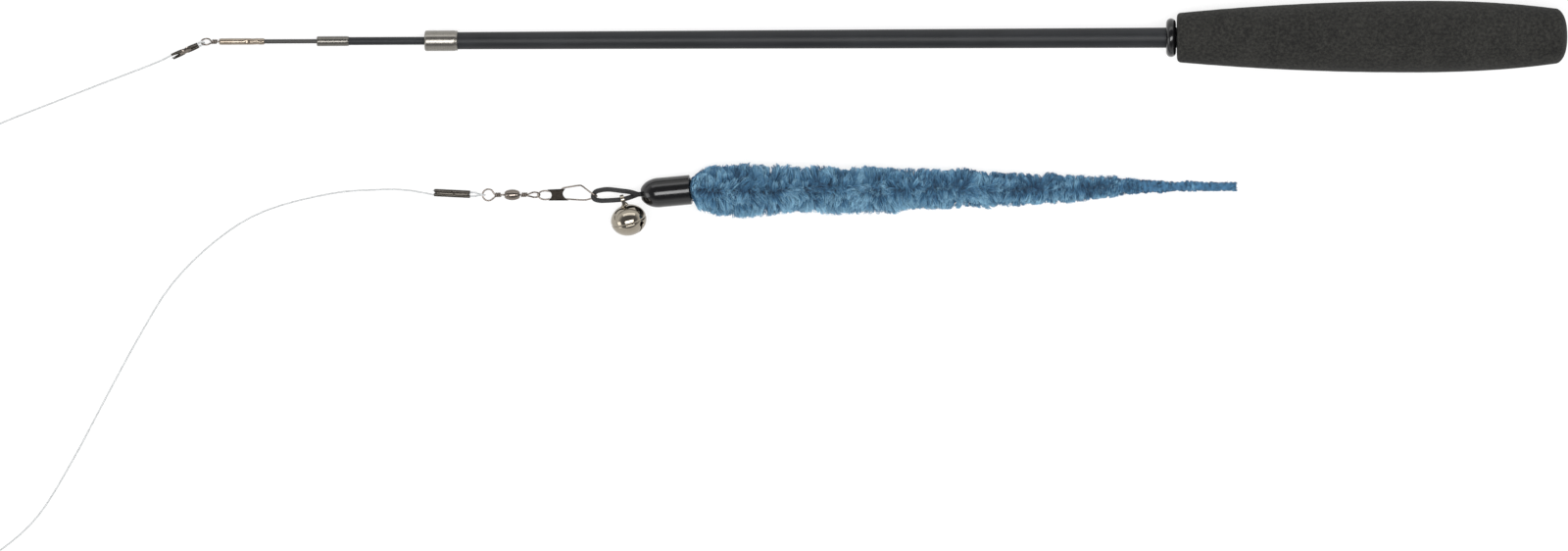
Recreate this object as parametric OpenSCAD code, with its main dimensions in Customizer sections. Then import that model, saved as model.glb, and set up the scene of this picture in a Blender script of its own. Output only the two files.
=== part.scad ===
// Telescopic cat teaser wand, collapsed and laid flat, with its line, snap swivel, bell and plush tail.
// Millimetres. +X runs from the wand's tip to its grip, +Z up from the surface that it lies on.

/* [Grip] */
// Length of the foam grip
grip_len = 111; // [80:1:150]
// Radius at the grip's front face
grip_front_r = 7; // [5:0.1:9]
// Radius at the grip's fullest place
grip_belly_r = 10.2; // [8:0.1:14]
// Radius that the grip narrows to at its rear
grip_rear_r = 7.4; // [5:0.1:9]
// Radius of the flat at the grip's rear end
grip_flat_r = 1.6; // [1:0.1:3]
// Length of the rounding at the grip's rear end
grip_round = 3.4; // [2:0.1:6]
// Outside radius of the collar in front of the grip
collar_r = 5.55; // [4:0.05:7]
// Length of the collar
collar_len = 2.8; // [2:0.1:5]
// Depth of the plug that closes the tube's rear end
plug_len = 6; // [3:0.5:12]

/* [Telescopic rod] */
// Length of the main tube that shows between its ferrule and the collar
tube_show = 202.4; // [150:0.1:300]
// Radius of the main tube at its front end
tube_front_r = 2.44; // [2.3:0.01:3]
// Radius of the main tube at the collar
tube_rear_r = 2.9; // [2.6:0.01:3.5]
// Radius of the bore that the middle section slides in
tube_bore_r = 2.1; // [1.8:0.01:2.2]
// Length of the large ferrule
ferrule_len = 9.4; // [6:0.1:14]
// Radius of the large ferrule
ferrule_r = 2.95; // [2.8:0.01:3.6]
// Radius of the middle tube
mid_r = 1.135; // [1:0.005:1.4]
// Wall of the middle tube
mid_wall = 0.33; // [0.2:0.01:0.4]
// How far the middle tube stands out of the large ferrule as it lies
mid_out = 21.8; // [10:0.1:60]
// Room left behind the middle tube when it is pushed right in
mid_room = 4.9; // [2:0.1:40]
// Length of the small ferrule
small_ferrule_len = 9.1; // [5:0.1:12]
// Radius of the small ferrule
small_ferrule_r = 1.39; // [1.3:0.01:1.8]
// Radius of the tip rod
rod_r = 0.615; // [0.5:0.005:0.7]
// How far the tip rod stands out of the small ferrule as it lies
rod_out = 15.1; // [8:0.1:50]
// How much shorter the tip rod ends than the middle tube as they lie
rod_short = 30.9; // [20:0.1:80]

/* [Tip] */
// Length of the crimped tip tube
crimp_len = 12.9; // [8:0.1:18]
// Radius of the crimped tip tube
crimp_r = 0.91; // [0.9:0.01:1.4]
// Length of the wire wraps between the tip tube and its eye
tip_wrap_len = 2.1; // [1.6:0.1:4]
// Outside width of the tip eye
tip_eye_w = 3.3; // [2.6:0.1:4]
// How far the tip eye is turned up about the rod
tip_eye_roll = 50; // [0:1:52]

/* [Line] */
// Diameter of the nylon line
line_d = 0.5; // [0.3:0.05:0.5]
// Length of a crimp sleeve at the wand's tip
tip_sleeve_len = 8.1; // [6:0.1:12]
// Length of the crimp sleeve at the swivel
lure_sleeve_len = 10.3; // [6:0.1:14]
// Outside radius of each barrel of a crimp sleeve
sleeve_barrel_r = 0.5; // [0.45:0.01:0.6]
// Distance between the two barrels of a crimp sleeve
sleeve_pitch = 1.14; // [1.05:0.01:1.3]
// Slope of the sleeve at the tip, seen from above
tip_sleeve_turn = 23.5; // [0:1:45]
// Dip of the sleeve at the tip towards the surface
tip_sleeve_dip = 6; // [0:0.5:7]
// Slope of the sleeve at the swivel, seen from above
lure_sleeve_turn = 3; // [0:0.5:8]
// Dip of the sleeve at the swivel towards the surface
lure_sleeve_dip = 3; // [0:0.5:4]

/* [Swivel] */
// Distance between the wand's axis and the swivel's axis
spread = 44.1; // [35:0.1:80]
// Distance from the wand's large ferrule to the middle of the swivel
swivel_ahead = 24.8; // [0:0.1:80]
// Length of the swivel's barrel
barrel_len = 4.4; // [3:0.1:7]
// Greatest radius of the swivel's barrel
barrel_r = 1.55; // [1.2:0.01:2.5]
// Wall of the swivel's barrel
barrel_wall = 0.3; // [0.2:0.01:0.4]
// Radius of the swivel's wire
eye_wire_r = 0.235; // [0.15:0.005:0.25]
// Length of the front eye's wire wraps
front_wrap_len = 2.1; // [1.6:0.1:4]
// Length of the rear eye's wire wraps
rear_wrap_len = 1.9; // [1.6:0.1:4]
// Outside width of the front eye
front_eye_w = 3.75; // [3:0.05:5]
// Outside length of the front eye
front_eye_len = 3.85; // [3.5:0.05:6]
// Outside width of the rear eye
rear_eye_w = 3.3; // [2.8:0.05:4]
// Outside length of the rear eye
rear_eye_len = 3.9; // [3.4:0.05:6]
// How far the rear eye is turned about the swivel's axis
rear_eye_roll = 60; // [0:1:62]

/* [Snap] */
// Radius of the snap's wire
snap_wire_r = 0.225; // [0.15:0.005:0.25]
// Length of the snap from its small loop to its crown
snap_len = 16.9; // [14:0.1:25]
// Width of the snap's small loop at the wire's middle
snap_loop_w = 2.6; // [2.2:0.05:3.5]
// Length of the snap's plate
plate_len = 5.1; // [4:0.1:7]
// Width of the snap's plate
plate_w = 3.4; // [3.2:0.05:5]
// Thickness of the sheet that the plate is folded from
plate_sheet = 0.2; // [0.15:0.01:0.4]

/* [Toy] */
// Radius of the elastic cord
elastic_r = 0.675; // [0.5:0.005:0.75]
// Length of the elastic loop from its crown to the cap's nose
elastic_len = 13.4; // [11:0.1:25]
// Width of the elastic loop at the cord's middle
elastic_w = 3.2; // [2.8:0.05:4]
// Radius of the cap
cap_r = 4.25; // [3.5:0.05:6]
// Length of the cap
cap_len = 14.7; // [10:0.1:25]
// Wall of the cap
cap_wall = 0.8; // [0.5:0.05:1.2]
// Turn of the cap, seen from above
cap_turn = 5; // [0:0.5:8]
// Length of the plush tail behind the cap
tail_len = 156; // [100:1:220]
// Fullest radius of the plush tail
tail_r = 7.6; // [5:0.1:9]
// Radius of the tail's twisted core
core_r = 0.7; // [0.5:0.05:1]

/* [Bell] */
// Radius of the bell across its seam
bell_r = 5.15; // [4.5:0.05:6]
// Half height of the bell along its own axis
bell_half = 4.4; // [3.8:0.05:5.5]
// Wall of the bell
bell_wall = 0.35; // [0.25:0.01:0.5]
// Width of the bell's slot
slot_w = 0.8; // [0.5:0.05:1.2]
// Radius of the holes that end the slot
slot_hole_r = 0.85; // [0.6:0.05:1.2]
// Radius of the ball inside the bell
ball_r = 1.5; // [1:0.05:1.8]
// Turn of the bell's axis, seen from above
bell_turn = 16; // [0:1:18]

/* [Hidden] */

// Clearances: a fixed nest, a sliding or turning fit, and a loose link of wire in wire
nest_gap = 0.02;
slide_gap = 0.06;
link_gap = 0.1;
// Overrun of cuts
cut = 0.5;
$fn = 48;

black = "#1d1d1f";
nickel = "#9a948a";
dark_nickel = "#5b5750";
bright = "#c9c7c2";

// Places along the wand, from the large ferrule's front
collar_x = ferrule_len + tube_show;
collar_seam = 0.3;
grip_x = collar_x + collar_len + collar_seam;
grip_end_x = grip_x + grip_len;
grip_end_cover = 1.2;
tube_end_x = grip_end_x - grip_end_cover;
mid_end_x = tube_end_x - plug_len - mid_out - mid_room;
rod_end_x = mid_end_x - rod_short;
ferrule_lip = 1.2;
mid_front_x = -mid_out;
rod_front_x = mid_front_x - small_ferrule_len - rod_out;
crimp_hold = 9;
tip_x = rod_front_x - crimp_len;
tip_eye_x = tip_x - tip_wrap_len;

// The grip's outline: two parabolas that meet at its belly, a small front edge and a round rear end
belly_share = 0.614;
rear_power = 2.3;
front_edge = 0.6;
function grip_radius(u) = u < belly_share
    ? grip_belly_r - (grip_belly_r - grip_front_r) * pow(1 - u / belly_share, 2)
    : grip_belly_r - (grip_belly_r - grip_rear_r) * pow((u - belly_share) / (1 - belly_share), rear_power);
grip_steps = 26;
round_steps = 8;
round_share = 1 - grip_round / grip_len;
grip_edge_r = grip_radius(round_share);
grip_outline = concat(
    [[grip_x, grip_front_r - front_edge]],
    [for (i = [0:grip_steps])
        let (u = front_edge / grip_len + (round_share - front_edge / grip_len) * i / grip_steps)
        [grip_x + u * grip_len, grip_radius(u)]],
    [for (i = [1:round_steps])
        let (a = 90 * i / round_steps)
        [grip_end_x - grip_round * (1 - sin(a)), grip_flat_r + (grip_edge_r - grip_flat_r) * cos(a)]]);

// The wand lies on its large ferrule and on the grip's belly
ferrule_edge = 0.7;
lean = max([for (p = grip_outline) atan((p[1] - ferrule_r) / (p[0] - ferrule_edge))]);
wand_lift = ferrule_r * cos(lean) - ferrule_edge * sin(lean);

// The swivel, snap and toy follow each other along x from the swivel's middle
front_bare = 0.55;
rear_bare = 0.1;
front_link_x = -barrel_len / 2 - front_bare - front_wrap_len - front_eye_len + eye_wire_r;
rear_link_x = barrel_len / 2 + rear_bare + rear_wrap_len + rear_eye_len - eye_wire_r;
snap_x = rear_link_x - eye_wire_r - snap_wire_r - link_gap;
crown_reach = elastic_r + snap_wire_r + 1.5 * link_gap;
elastic_x = snap_x + snap_len - crown_reach;
elastic_axis_y = -0.05 * elastic_w;
nose = [elastic_x + elastic_len, 0, cap_r + slide_gap - barrel_r];
cap_pitch = 4.7;

// Half the elastic loop's width, side by side along its length, as shares of its length and width
upper_shares = [[0.96, 0.05], [0.8, 0.25], [0.61, 0.36], [0.32, 0.5], [0.12, 0.4], [0.04, 0.24]];
lower_shares = [[0, -0.09], [0.03, -0.35], [0.12, -0.48], [0.26, -0.5], [0.6, -0.42], [0.79, -0.22],
    [0.96, 0.05]];
function ease(u) = let (v = min(max(u, 0), 1)) v * v * (3 - 2 * v);
strand_part_share = 0.62;
elastic_arch = 3.8;
arch_lean = 1.35;
function strand_z(u, side) = nose[2] * pow(u, 1.1) + elastic_arch * pow(sin(180 * pow(u, arch_lean)), 2)
    + side * (elastic_r + nest_gap) * ease((u - strand_part_share) / (0.95 - strand_part_share));
function strand_point(p, side) = [elastic_x + p[0] * elastic_len, elastic_axis_y + p[1] * elastic_w,
    strand_z(p[0], side)];

// The bell hangs on the loop's lower strand, and lies on the surface beside it
hang_share = 0.635;
hang_at = strand_point([hang_share, -0.4], -1);
shank_gap = 0.33;
strap_w = 1.1;
shank_rise = elastic_r + shank_gap + 0.9 * strap_w;
bell_hang = bell_half + shank_rise;
bell_dip = asin((bell_r - barrel_r - hang_at[2]) / bell_hang);
bell_axis = [-sin(bell_turn) * cos(bell_dip), cos(bell_turn) * cos(bell_dip), -sin(bell_dip)];
bell_at = hang_at - bell_hang * bell_axis;
bell_x = [cos(bell_turn), sin(bell_turn), 0];
strand_way = strand_point([hang_share + 0.05, -0.37], -1) - strand_point([hang_share - 0.05, -0.42], -1);
strap_twist = atan2(strand_way * cross(bell_axis, bell_x), strand_way * bell_x);
echo(bell_dip = bell_dip, strap_twist = strap_twist);
bell_reach = sqrt(pow(bell_r, 2) * (1 - pow(bell_axis[1], 2)) + pow(bell_half * bell_axis[1], 2));

// The wand and toy together are centred on the origin
wand_left = (tip_eye_x - tip_eye_w) * cos(lean);
wand_right = max([for (p = grip_outline) p[0] * cos(lean) + p[1] * sin(lean)]);
wand_x = -(wand_left + wand_right) / 2;
wand_y = (spread - bell_at[1] + bell_reach - grip_belly_r) / 2;
lure_x = wand_x + swivel_ahead;
lure_y = wand_y - spread;
lure_z = barrel_r;

// The direction that x takes when it turns by a about z and dips by b
function dir(a, b) = [cos(a) * cos(b), sin(a) * cos(b), -sin(b)];
function unit(v) = v / norm(v);
function square_to(v, t) = unit(v - (v * t) * t);
function mix(a, b, share) = a + (b - a) * share;
function wand_point(p) = [wand_x + p[0] * cos(lean) - p[2] * sin(lean), wand_y + p[1],
    wand_lift + p[0] * sin(lean) + p[2] * cos(lean)];

// Side directions carried along a path without twist
function tangents(p) = [for (i = [0:len(p) - 1])
    unit(p[min(i + 1, len(p) - 1)] - p[max(i - 1, 0)])];
function carried(t, first) = [for (i = 0, s = square_to(first, t[0]); i < len(t);
    i = i + 1, s = i < len(t) ? square_to(s, t[i]) : s) s];

// A tube swept along a path, with one radius or a radius for each point
module tube(path, r, sides, first = [0, 0, 1]) {
    t = tangents(path);
    s = carried(t, first);
    n = len(path);
    rings = [for (i = [0:n - 1]) for (k = [0:sides - 1])
        let (a = 360 * k / sides, ri = is_list(r) ? r[i] : r)
        path[i] + ri * (cos(a) * s[i] + sin(a) * cross(t[i], s[i]))];
    walls = [for (i = [0:n - 2]) for (k = [0:sides - 1])
        let (a = i * sides + k, b = i * sides + (k + 1) % sides)
        each [[a, b + sides, b], [a, a + sides, b + sides]]];
    caps = [for (k = [1:sides - 2]) each [[0, k, k + 1],
        [(n - 1) * sides, (n - 1) * sides + k + 1, (n - 1) * sides + k]]];
    polyhedron(points = rings, faces = concat(walls, caps), convexity = 10);
}

function raised(p, r) = [for (q = p) [q[0], q[1], max(q[2], r)]];

// A smooth curve through chosen points, with a number of steps between each two
function curve_at(a, b, c, d, u) = 0.5 * ((2 * b) + (c - a) * u
    + (2 * a - 5 * b + 4 * c - d) * u * u + (3 * b - a - 3 * c + d) * u * u * u);
function smooth(p, steps) = concat([for (i = [0:len(p) - 2]) for (k = [0:steps - 1])
    curve_at(p[max(i - 1, 0)], p[i], p[i + 1], p[min(i + 2, len(p) - 1)], k / steps)],
    [p[len(p) - 1]]);

// Turned about the x axis, from an outline of x and radius
module turned(outline) {
    rotate([0, 90, 0])
        rotate_extrude()
            polygon([for (p = outline) [p[1], p[0]]]);
}

// A plain pipe along x
module pipe(x0, x1, r, bore) {
    translate([x0, 0, 0])
        rotate([0, 90, 0])
            difference() {
                cylinder(r = r, h = x1 - x0);
                translate([0, 0, -cut])
                    cylinder(r = bore, h = x1 - x0 + 2 * cut);
            }
}

module rod(x0, x1, r) {
    translate([x0, 0, 0])
        rotate([0, 90, 0])
            cylinder(r = r, h = x1 - x0);
}

module on_wand() {
    translate([wand_x, wand_y, wand_lift])
        rotate([0, -lean, 0])
            children();
}

module on_lure() {
    translate([lure_x, lure_y, lure_z])
        children();
}

// Wand

module grip() {
    color(black)
        on_wand()
            difference() {
                turned(concat([[grip_x, 0]], grip_outline, [[grip_end_x, 0]]));
                rod(grip_x - cut, tube_end_x, tube_rear_r + nest_gap);
            }
}

module grip_collar() {
    edge_r = collar_len / 2;
    color(black)
        on_wand()
            translate([collar_x, 0, 0])
                rotate([0, 90, 0])
                    difference() {
                        union() {
                            cylinder(r = collar_r - edge_r, h = collar_len);
                            translate([0, 0, edge_r])
                                rotate_extrude()
                                    translate([collar_r - edge_r, 0])
                                        circle(r = edge_r);
                        }
                        translate([0, 0, -cut])
                            cylinder(r = tube_rear_r + nest_gap, h = collar_len + 2 * cut);
                    }
}

module main_tube() {
    color(black)
        on_wand()
            difference() {
                turned([[ferrule_lip, 0], [ferrule_lip, tube_front_r], [collar_x, tube_rear_r],
                    [tube_end_x, tube_rear_r], [tube_end_x, 0]]);
                rod(0, tube_end_x + cut, tube_bore_r);
            }
}

module tube_end_plug() {
    recess = 0.6;
    color(black)
        on_wand()
            rod(tube_end_x - plug_len, tube_end_x - recess, tube_bore_r - nest_gap);
}

module large_ferrule() {
    edge = ferrule_edge;
    lip = 0.25;
    color(nickel)
        on_wand()
            difference() {
                turned([[0, 0], [0, ferrule_r - edge], [edge * 0.3, ferrule_r - edge * 0.3],
                    [edge, ferrule_r], [ferrule_len - 3 * lip, ferrule_r],
                    [ferrule_len - 2 * lip, ferrule_r - lip / 2],
                    [ferrule_len, ferrule_r - lip], [ferrule_len, 0]]);
                rod(-cut, ferrule_len, mid_r + slide_gap);
                turned([[ferrule_lip, 0], [ferrule_lip, tube_front_r + nest_gap],
                    [ferrule_len + cut, tube_front_r + nest_gap
                        + (tube_rear_r - tube_front_r) * (ferrule_len + cut) / collar_x],
                    [ferrule_len + cut, 0]]);
            }
}

module mid_tube() {
    color(black)
        on_wand()
            pipe(mid_front_x - small_ferrule_len + ferrule_lip / 2, mid_end_x, mid_r, mid_r - mid_wall);
}

module small_ferrule() {
    edge = 0.35;
    color(nickel)
        on_wand()
            translate([mid_front_x - small_ferrule_len, 0, 0])
                difference() {
                    turned([[0, 0], [0, small_ferrule_r - edge], [edge, small_ferrule_r],
                        [small_ferrule_len - edge, small_ferrule_r],
                        [small_ferrule_len, small_ferrule_r - edge / 3], [small_ferrule_len, 0]]);
                    rod(-cut, small_ferrule_len, rod_r + slide_gap);
                    rod(ferrule_lip / 2, small_ferrule_len + cut, mid_r + nest_gap);
                }
}

// A split bush that grips the bore it slides in
module split_bush(x1, length, outer, inner) {
    slit = 0.3;
    difference() {
        pipe(x1 - length, x1, outer, inner);
        translate([x1 - length * 0.75, 0, -slit / 2])
            cube([length, outer + cut, slit]);
    }
}

bush_len = 10;

module mid_tube_stop() {
    color(dark_nickel)
        on_wand()
            split_bush(mid_end_x, bush_len, tube_bore_r - slide_gap, mid_r + nest_gap);
}

module tip_rod() {
    color(black)
        on_wand()
            rod(rod_front_x - crimp_hold, rod_end_x, rod_r);
}

module tip_rod_stop() {
    color(dark_nickel)
        on_wand()
            split_bush(rod_end_x, bush_len * 0.8, mid_r - mid_wall - slide_gap, rod_r + nest_gap);
}

// The tip tube is swaged in at its mouth, round the eye's shank, and crimped on the rod
head_r = 2 * eye_wire_r;
head_len = 0.6;
mouth_wall = 0.7;

module tip_crimp() {
    dimple_r = 1.3;
    dimple_depth = 0.14;
    dimple_share = 0.3;
    color(nickel)
        on_wand()
            difference() {
                turned([[tip_x, 0], [tip_x, crimp_r * 0.8], [tip_x + mouth_wall / 2, crimp_r],
                    [rod_front_x, crimp_r], [rod_front_x, 0]]);
                rod(tip_x - cut, rod_front_x, eye_wire_r + slide_gap);
                rod(tip_x + mouth_wall, rod_front_x + cut, rod_r + nest_gap);
                for (side = [-1, 1])
                    translate([mix(rod_front_x, tip_x, dimple_share),
                        side * (crimp_r - dimple_depth + dimple_r), 0])
                        cylinder(r = dimple_r, h = 3 * crimp_r, center = true);
            }
}

// A wire eye on a wrapped shank, along +x from its barrel's mouth, with a head behind the mouth
wraps_per_len = 2;
module wire_eye(bare, wrap_len, eye_len, eye_w, wall) {
    r = eye_wire_r;
    ring_r = eye_w / 2 - r;
    root = bare + wrap_len;
    ring_x = bare + wrap_len + eye_len - r - ring_r;
    wrap_r = 2 * r + nest_gap;
    pitch = 2 * r + 2 * nest_gap;
    turns = floor(wrap_len / pitch - 0.5);
    loop = concat(
        [[root - r, 0, 0], [root + r / 2, r / 3, 0]],
        [for (a = [130:-15:-130]) [ring_x + ring_r * cos(a), ring_r * sin(a), 0]],
        [for (a = [0:30:360 * turns])
            [root - pitch * a / 360, -wrap_r * cos(a), -wrap_r * sin(a)]]);
    rod(-wall - head_len, root, r);
    rod(-wall - slide_gap - head_len, -wall - slide_gap, head_r);
    tube(loop, r * 0.98, 8);
}

module tip_eye() {
    color(nickel)
        on_wand()
            translate([tip_x, 0, 0])
                mirror([1, 0, 0])
                    rotate([-tip_eye_roll, 0, 0])
                        wire_eye(0, tip_wrap_len, tip_eye_w, tip_eye_w, mouth_wall);
}

// Line: it starts in a sleeve at the tip, goes round the tip eye and back through the sleeve, out to
// its coil, and ends the same way on the swivel's front eye
line_r = line_d / 2;
bore_gap = 0.04;
bight = eye_wire_r + line_r + 1.5 * link_gap;
tip_link_angle = 215;
tip_ring_r = tip_eye_w / 2 - eye_wire_r;
tip_ring_x = tip_eye_x - tip_eye_w / 2;
tip_link = wand_point([tip_ring_x + tip_ring_r * cos(tip_link_angle),
    tip_ring_r * sin(tip_link_angle) * cos(tip_eye_roll),
    -tip_ring_r * sin(tip_link_angle) * sin(tip_eye_roll)]);
tip_dir = dir(180 + tip_sleeve_turn, tip_sleeve_dip);
tip_side = square_to([0, sin(tip_eye_roll), cos(tip_eye_roll)], tip_dir);
tip_loop_len = 1.2;
lure_link = [lure_x + front_link_x, lure_y, lure_z];
lure_dir = dir(180 - lure_sleeve_turn, lure_sleeve_dip);
lure_side = square_to([0, 0, 1], lure_dir);
lure_loop_len = 3.6;

// The line's end loop: down one strand, round the eye's wire and up the other
function strand_at(at, d, m, roll, len, s, side) =
    let (turn = roll * ease(s / len), half = mix(bight, sleeve_pitch / 2, ease(s / len)))
    at + d * s + side * half * (cos(turn) * m + sin(turn) * cross(d, m));
function end_loop(at, d, m, roll, len, steps) = concat(
    [for (i = [steps:-1:1]) strand_at(at, d, m, roll, len, len * i / steps, -1)],
    [for (a = [180:-30:0]) at - d * bight * sin(a) + m * bight * cos(a)],
    [for (i = [1:steps]) strand_at(at, d, m, roll, len, len * i / steps, 1)]);
loop_steps = 3;
tip_loop = end_loop(tip_link, tip_dir, tip_side, 0, tip_loop_len, loop_steps);
lure_turn = 90;
lure_loop = end_loop(lure_link, lure_dir, lure_side, lure_turn, lure_loop_len, 2 * loop_steps);
line_tail = 0.4;

// Where the line's free stretches run: chosen points on the surface, apart from the first and last
upper_route = [[-206, 17.7, 0.7], [-212, 15.3, 0.3], [-225, 10.4, 0.25], [-240, 4.6, 0.25],
    [-252, -0.1, 0.25], [-258, -3.2, 0.25], [-263, -8.5, 0.25], [-266, -16, 0.25], [-267, -24, 0.25]];
lower_route = [[-267, -37, 1.5], [-267.2, -43, 0.3], [-268, -60, 0.25], [-268, -80, 0.25],
    [-267, -100, 0.25], [-266, -113, 0.25], [-263, -121, 0.25], [-258, -124, 0.25],
    [-252, -121.7, 0.25], [-242, -112.5, 0.25], [-232.6, -97.6, 0.25], [-222.8, -79.4, 0.25],
    [-213.3, -62, 0.25], [-203.5, -46.4, 0.25], [-190.6, -33.8, 0.25], [-176.9, -25.6, 0.25],
    [-158.1, -20.7, 0.3], [-144, -19.6, 0.6], [-136, -19.8, 0.8]];
coil_at = [-262.5, -30];
coil_r = 4.5;
coil_pitch = 1;
coil_turns = 3;
coil_layers = 4;
coil_step = 1;
coil_lead = line_d;

function coil_point(a) =
    let (q = a / (360 * coil_turns), f = q % 2, in = f < 1 ? f : 2 - f,
        r = coil_r - coil_pitch * coil_turns * in, w = 0.25 / coil_turns,
        up = [for (j = [1:coil_layers - 1]) min(max((q - j) / (2 * w) + 0.5, 0), 1)],
        z = line_r + coil_step * (up * [for (j = [1:coil_layers - 1]) 1]))
    [coil_at[0] + r * cos(180 + a), coil_at[1] + r * sin(180 + a), z];
coil_rings = 24;
coil_start = coil_point(0);
coil_end = coil_point(360 * coil_turns * coil_layers);
coil_path = concat([coil_start + [0, coil_lead, 0]],
    [for (i = [0:coil_rings * coil_turns * coil_layers]) coil_point(360 * i / coil_rings)],
    [coil_end - [0, coil_lead, 0]]);

// Least gap between turns of the coil, from each point to those more than half a turn away
coil_last = len(coil_path) - 1;
coil_gap = min([for (i = [0:1:coil_last - coil_rings / 2]) for (j = [i + coil_rings / 2:1:coil_last])
    norm(coil_path[i] - coil_path[j])]) - line_d;
echo(coil_gap = coil_gap);

upper_free = concat([tip_loop[len(tip_loop) - 1] + tip_dir * tip_sleeve_len,
    tip_loop[len(tip_loop) - 1] + tip_dir * (tip_sleeve_len + line_d)], upper_route,
    [coil_start + [0, 2 * coil_lead, 0]]);
upper_path = concat([tip_loop[0] + tip_dir * (tip_sleeve_len + line_tail)], tip_loop,
    raised(smooth(upper_free, 2), line_r), [coil_start + [0, coil_lead, 0]]);
lower_free = concat([coil_end - [0, 2 * coil_lead, 0]], lower_route,
    [lure_loop[0] + lure_dir * (lure_sleeve_len + line_d), lure_loop[0] + lure_dir * lure_sleeve_len]);
lower_path = concat([coil_end - [0, coil_lead, 0]], raised(smooth(lower_free, 2), line_r), lure_loop,
    [lure_loop[len(lure_loop) - 1] + lure_dir * (lure_sleeve_len + line_tail)]);
function path_len(p) = [for (i = [1:len(p) - 1]) norm(p[i] - p[i - 1])]
    * [for (i = [1:len(p) - 1]) 1];
echo(line_length = path_len(upper_path) + path_len(coil_path) + path_len(lower_path));

module line_upper() {
    color("white")
        tube(upper_path, line_r, 8);
}

module line_coil() {
    color("white")
        tube(coil_path, line_r, 6);
}

module line_lower() {
    color("white")
        tube(lower_path, line_r, 8);
}

// A double crimp sleeve along +x, with its barrels side by side along y
module crimp_sleeve(length) {
    flat = 1.5 * sleeve_barrel_r;
    wide = sleeve_pitch + 2 * sleeve_barrel_r;
    bow_shares = [[0.34, 0.42], [0.42, 0.5], [0.5, 0.4], [0.58, 0.5], [0.66, 0.42]];
    function bow(i, side) = [bow_shares[i][0] * length, side * bow_shares[i][1] * wide];
    last = len(bow_shares) - 1;
    outline = concat([for (i = [0:last]) bow(i, 1)], [for (i = [last:-1:0]) bow(i, -1)]);
    difference() {
        union() {
            for (side = [-1, 1])
                translate([0, side * sleeve_pitch / 2, 0])
                    rod(0, length, sleeve_barrel_r);
            translate([0, 0, -flat / 2])
                linear_extrude(height = flat)
                    polygon(outline);
            translate([length * bow_shares[0][0] / 2, -sleeve_pitch / 2, -flat / 4])
                cube([length * (1 - bow_shares[0][0]), sleeve_pitch, flat / 2]);
        }
        for (side = [-1, 1])
            translate([0, side * sleeve_pitch / 2, 0])
                rod(-cut, length + cut, line_r + bore_gap);
    }
}

// Turns a piece along +x, with its sides along y, to lie along d with its sides along m
module along(at, d, m) {
    k = cross(d, m);
    multmatrix([[d[0], m[0], k[0], at[0]], [d[1], m[1], k[1], at[1]], [d[2], m[2], k[2], at[2]]])
        children();
}

module tip_sleeve() {
    color(dark_nickel)
        along(tip_link + tip_dir * tip_loop_len, tip_dir, tip_side)
            crimp_sleeve(tip_sleeve_len);
}

module lure_sleeve() {
    side = cos(lure_turn) * lure_side + sin(lure_turn) * cross(lure_dir, lure_side);
    color(dark_nickel)
        along(lure_link + lure_dir * lure_loop_len, lure_dir, side)
            crimp_sleeve(lure_sleeve_len);
}

// Swivel

module swivel_front_eye() {
    color(nickel)
        on_lure()
            translate([-barrel_len / 2, 0, 0])
                mirror([1, 0, 0])
                    wire_eye(front_bare, front_wrap_len, front_eye_len, front_eye_w, barrel_mouth);
}

module swivel_rear_eye() {
    color(nickel)
        on_lure()
            translate([barrel_len / 2, 0, 0])
                rotate([rear_eye_roll, 0, 0])
                    wire_eye(rear_bare, rear_wrap_len, rear_eye_len, rear_eye_w, barrel_mouth);
}

barrel_mouth = 0.5;
barrel_mouth_r = 2.4 * eye_wire_r;

module swivel_barrel() {
    steps = 8;
    half = barrel_len / 2;
    function belly(a, r, h) = [h * sin(a), barrel_mouth_r + (r - barrel_mouth_r) * cos(a)];
    color(bright)
        on_lure()
            difference() {
                turned(concat([[-half, 0]],
                    [for (i = [-steps:steps]) belly(90 * i / steps, barrel_r, half)],
                    [[half, 0]]));
                turned(concat([[barrel_mouth - half, 0]],
                    [for (i = [-steps:steps])
                        belly(90 * i / steps, barrel_r - barrel_wall, half - barrel_mouth)],
                    [[half - barrel_mouth, 0]]));
                rod(-half - cut, half + cut, eye_wire_r + slide_gap);
            }
}

// Snap: shares of its length, of its small loop's width and of the crown's reach
fixed_shares = [[0.3, 0.386, 0], [0.24, 0.386, 0], [0.18, 0.392, 0], [0.125, 0.432, 0], [0.065, 0.366, 0],
    [0.018, 0.17, 0], [0, -0.046, 0], [0.018, -0.262, 0], [0.065, -0.464, 0], [0.125, -0.53, 0],
    [0.18, -0.49, 0], [0.24, -0.484, 0], [0.45, -0.484, 0], [0.54, -0.51, -0.05], [0.66, -0.562, -0.6],
    [0.8, -0.59, -0.95], [0.88, -0.48, -1]];
latch_shares = [[0.9, 0.209, 1], [0.82, 0.602, 0.9], [0.765, 0.889, 0.75], [0.722, 1.007, 0.6],
    [0.66, 0.974, 0.4], [0.55, 0.863, 0.1], [0.45, 0.758, 0], [0.42, 0.68, 0], [0.405, 0.549, 0],
    [0.4, 0.471, 0]];
crown_mid_share = -0.16;
crown_half_share = 0.2;
function snap_point(p) = [snap_x + p[0] * snap_len, p[1] * snap_loop_w, p[2] * crown_reach];
function crown_point(a) = [elastic_x + crown_reach * cos(a),
    snap_loop_w * (crown_mid_share + crown_half_share * a / 90), crown_reach * sin(a)];
latch_gap_angle = 16;

module snap_wire() {
    path = concat(smooth([for (p = fixed_shares) snap_point(p)], 2),
        [for (a = [-90, -75, -60, -45, -30, -15, -6, 0, 4]) crown_point(a)]);
    last = len(path) - 1;
    end_shares = [0.45, 0.8, 0.95];
    color(nickel)
        on_lure()
            tube(path, [for (i = [0:last])
                snap_wire_r * (last - i < len(end_shares) ? end_shares[last - i] : 1)], 8);
}

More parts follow.
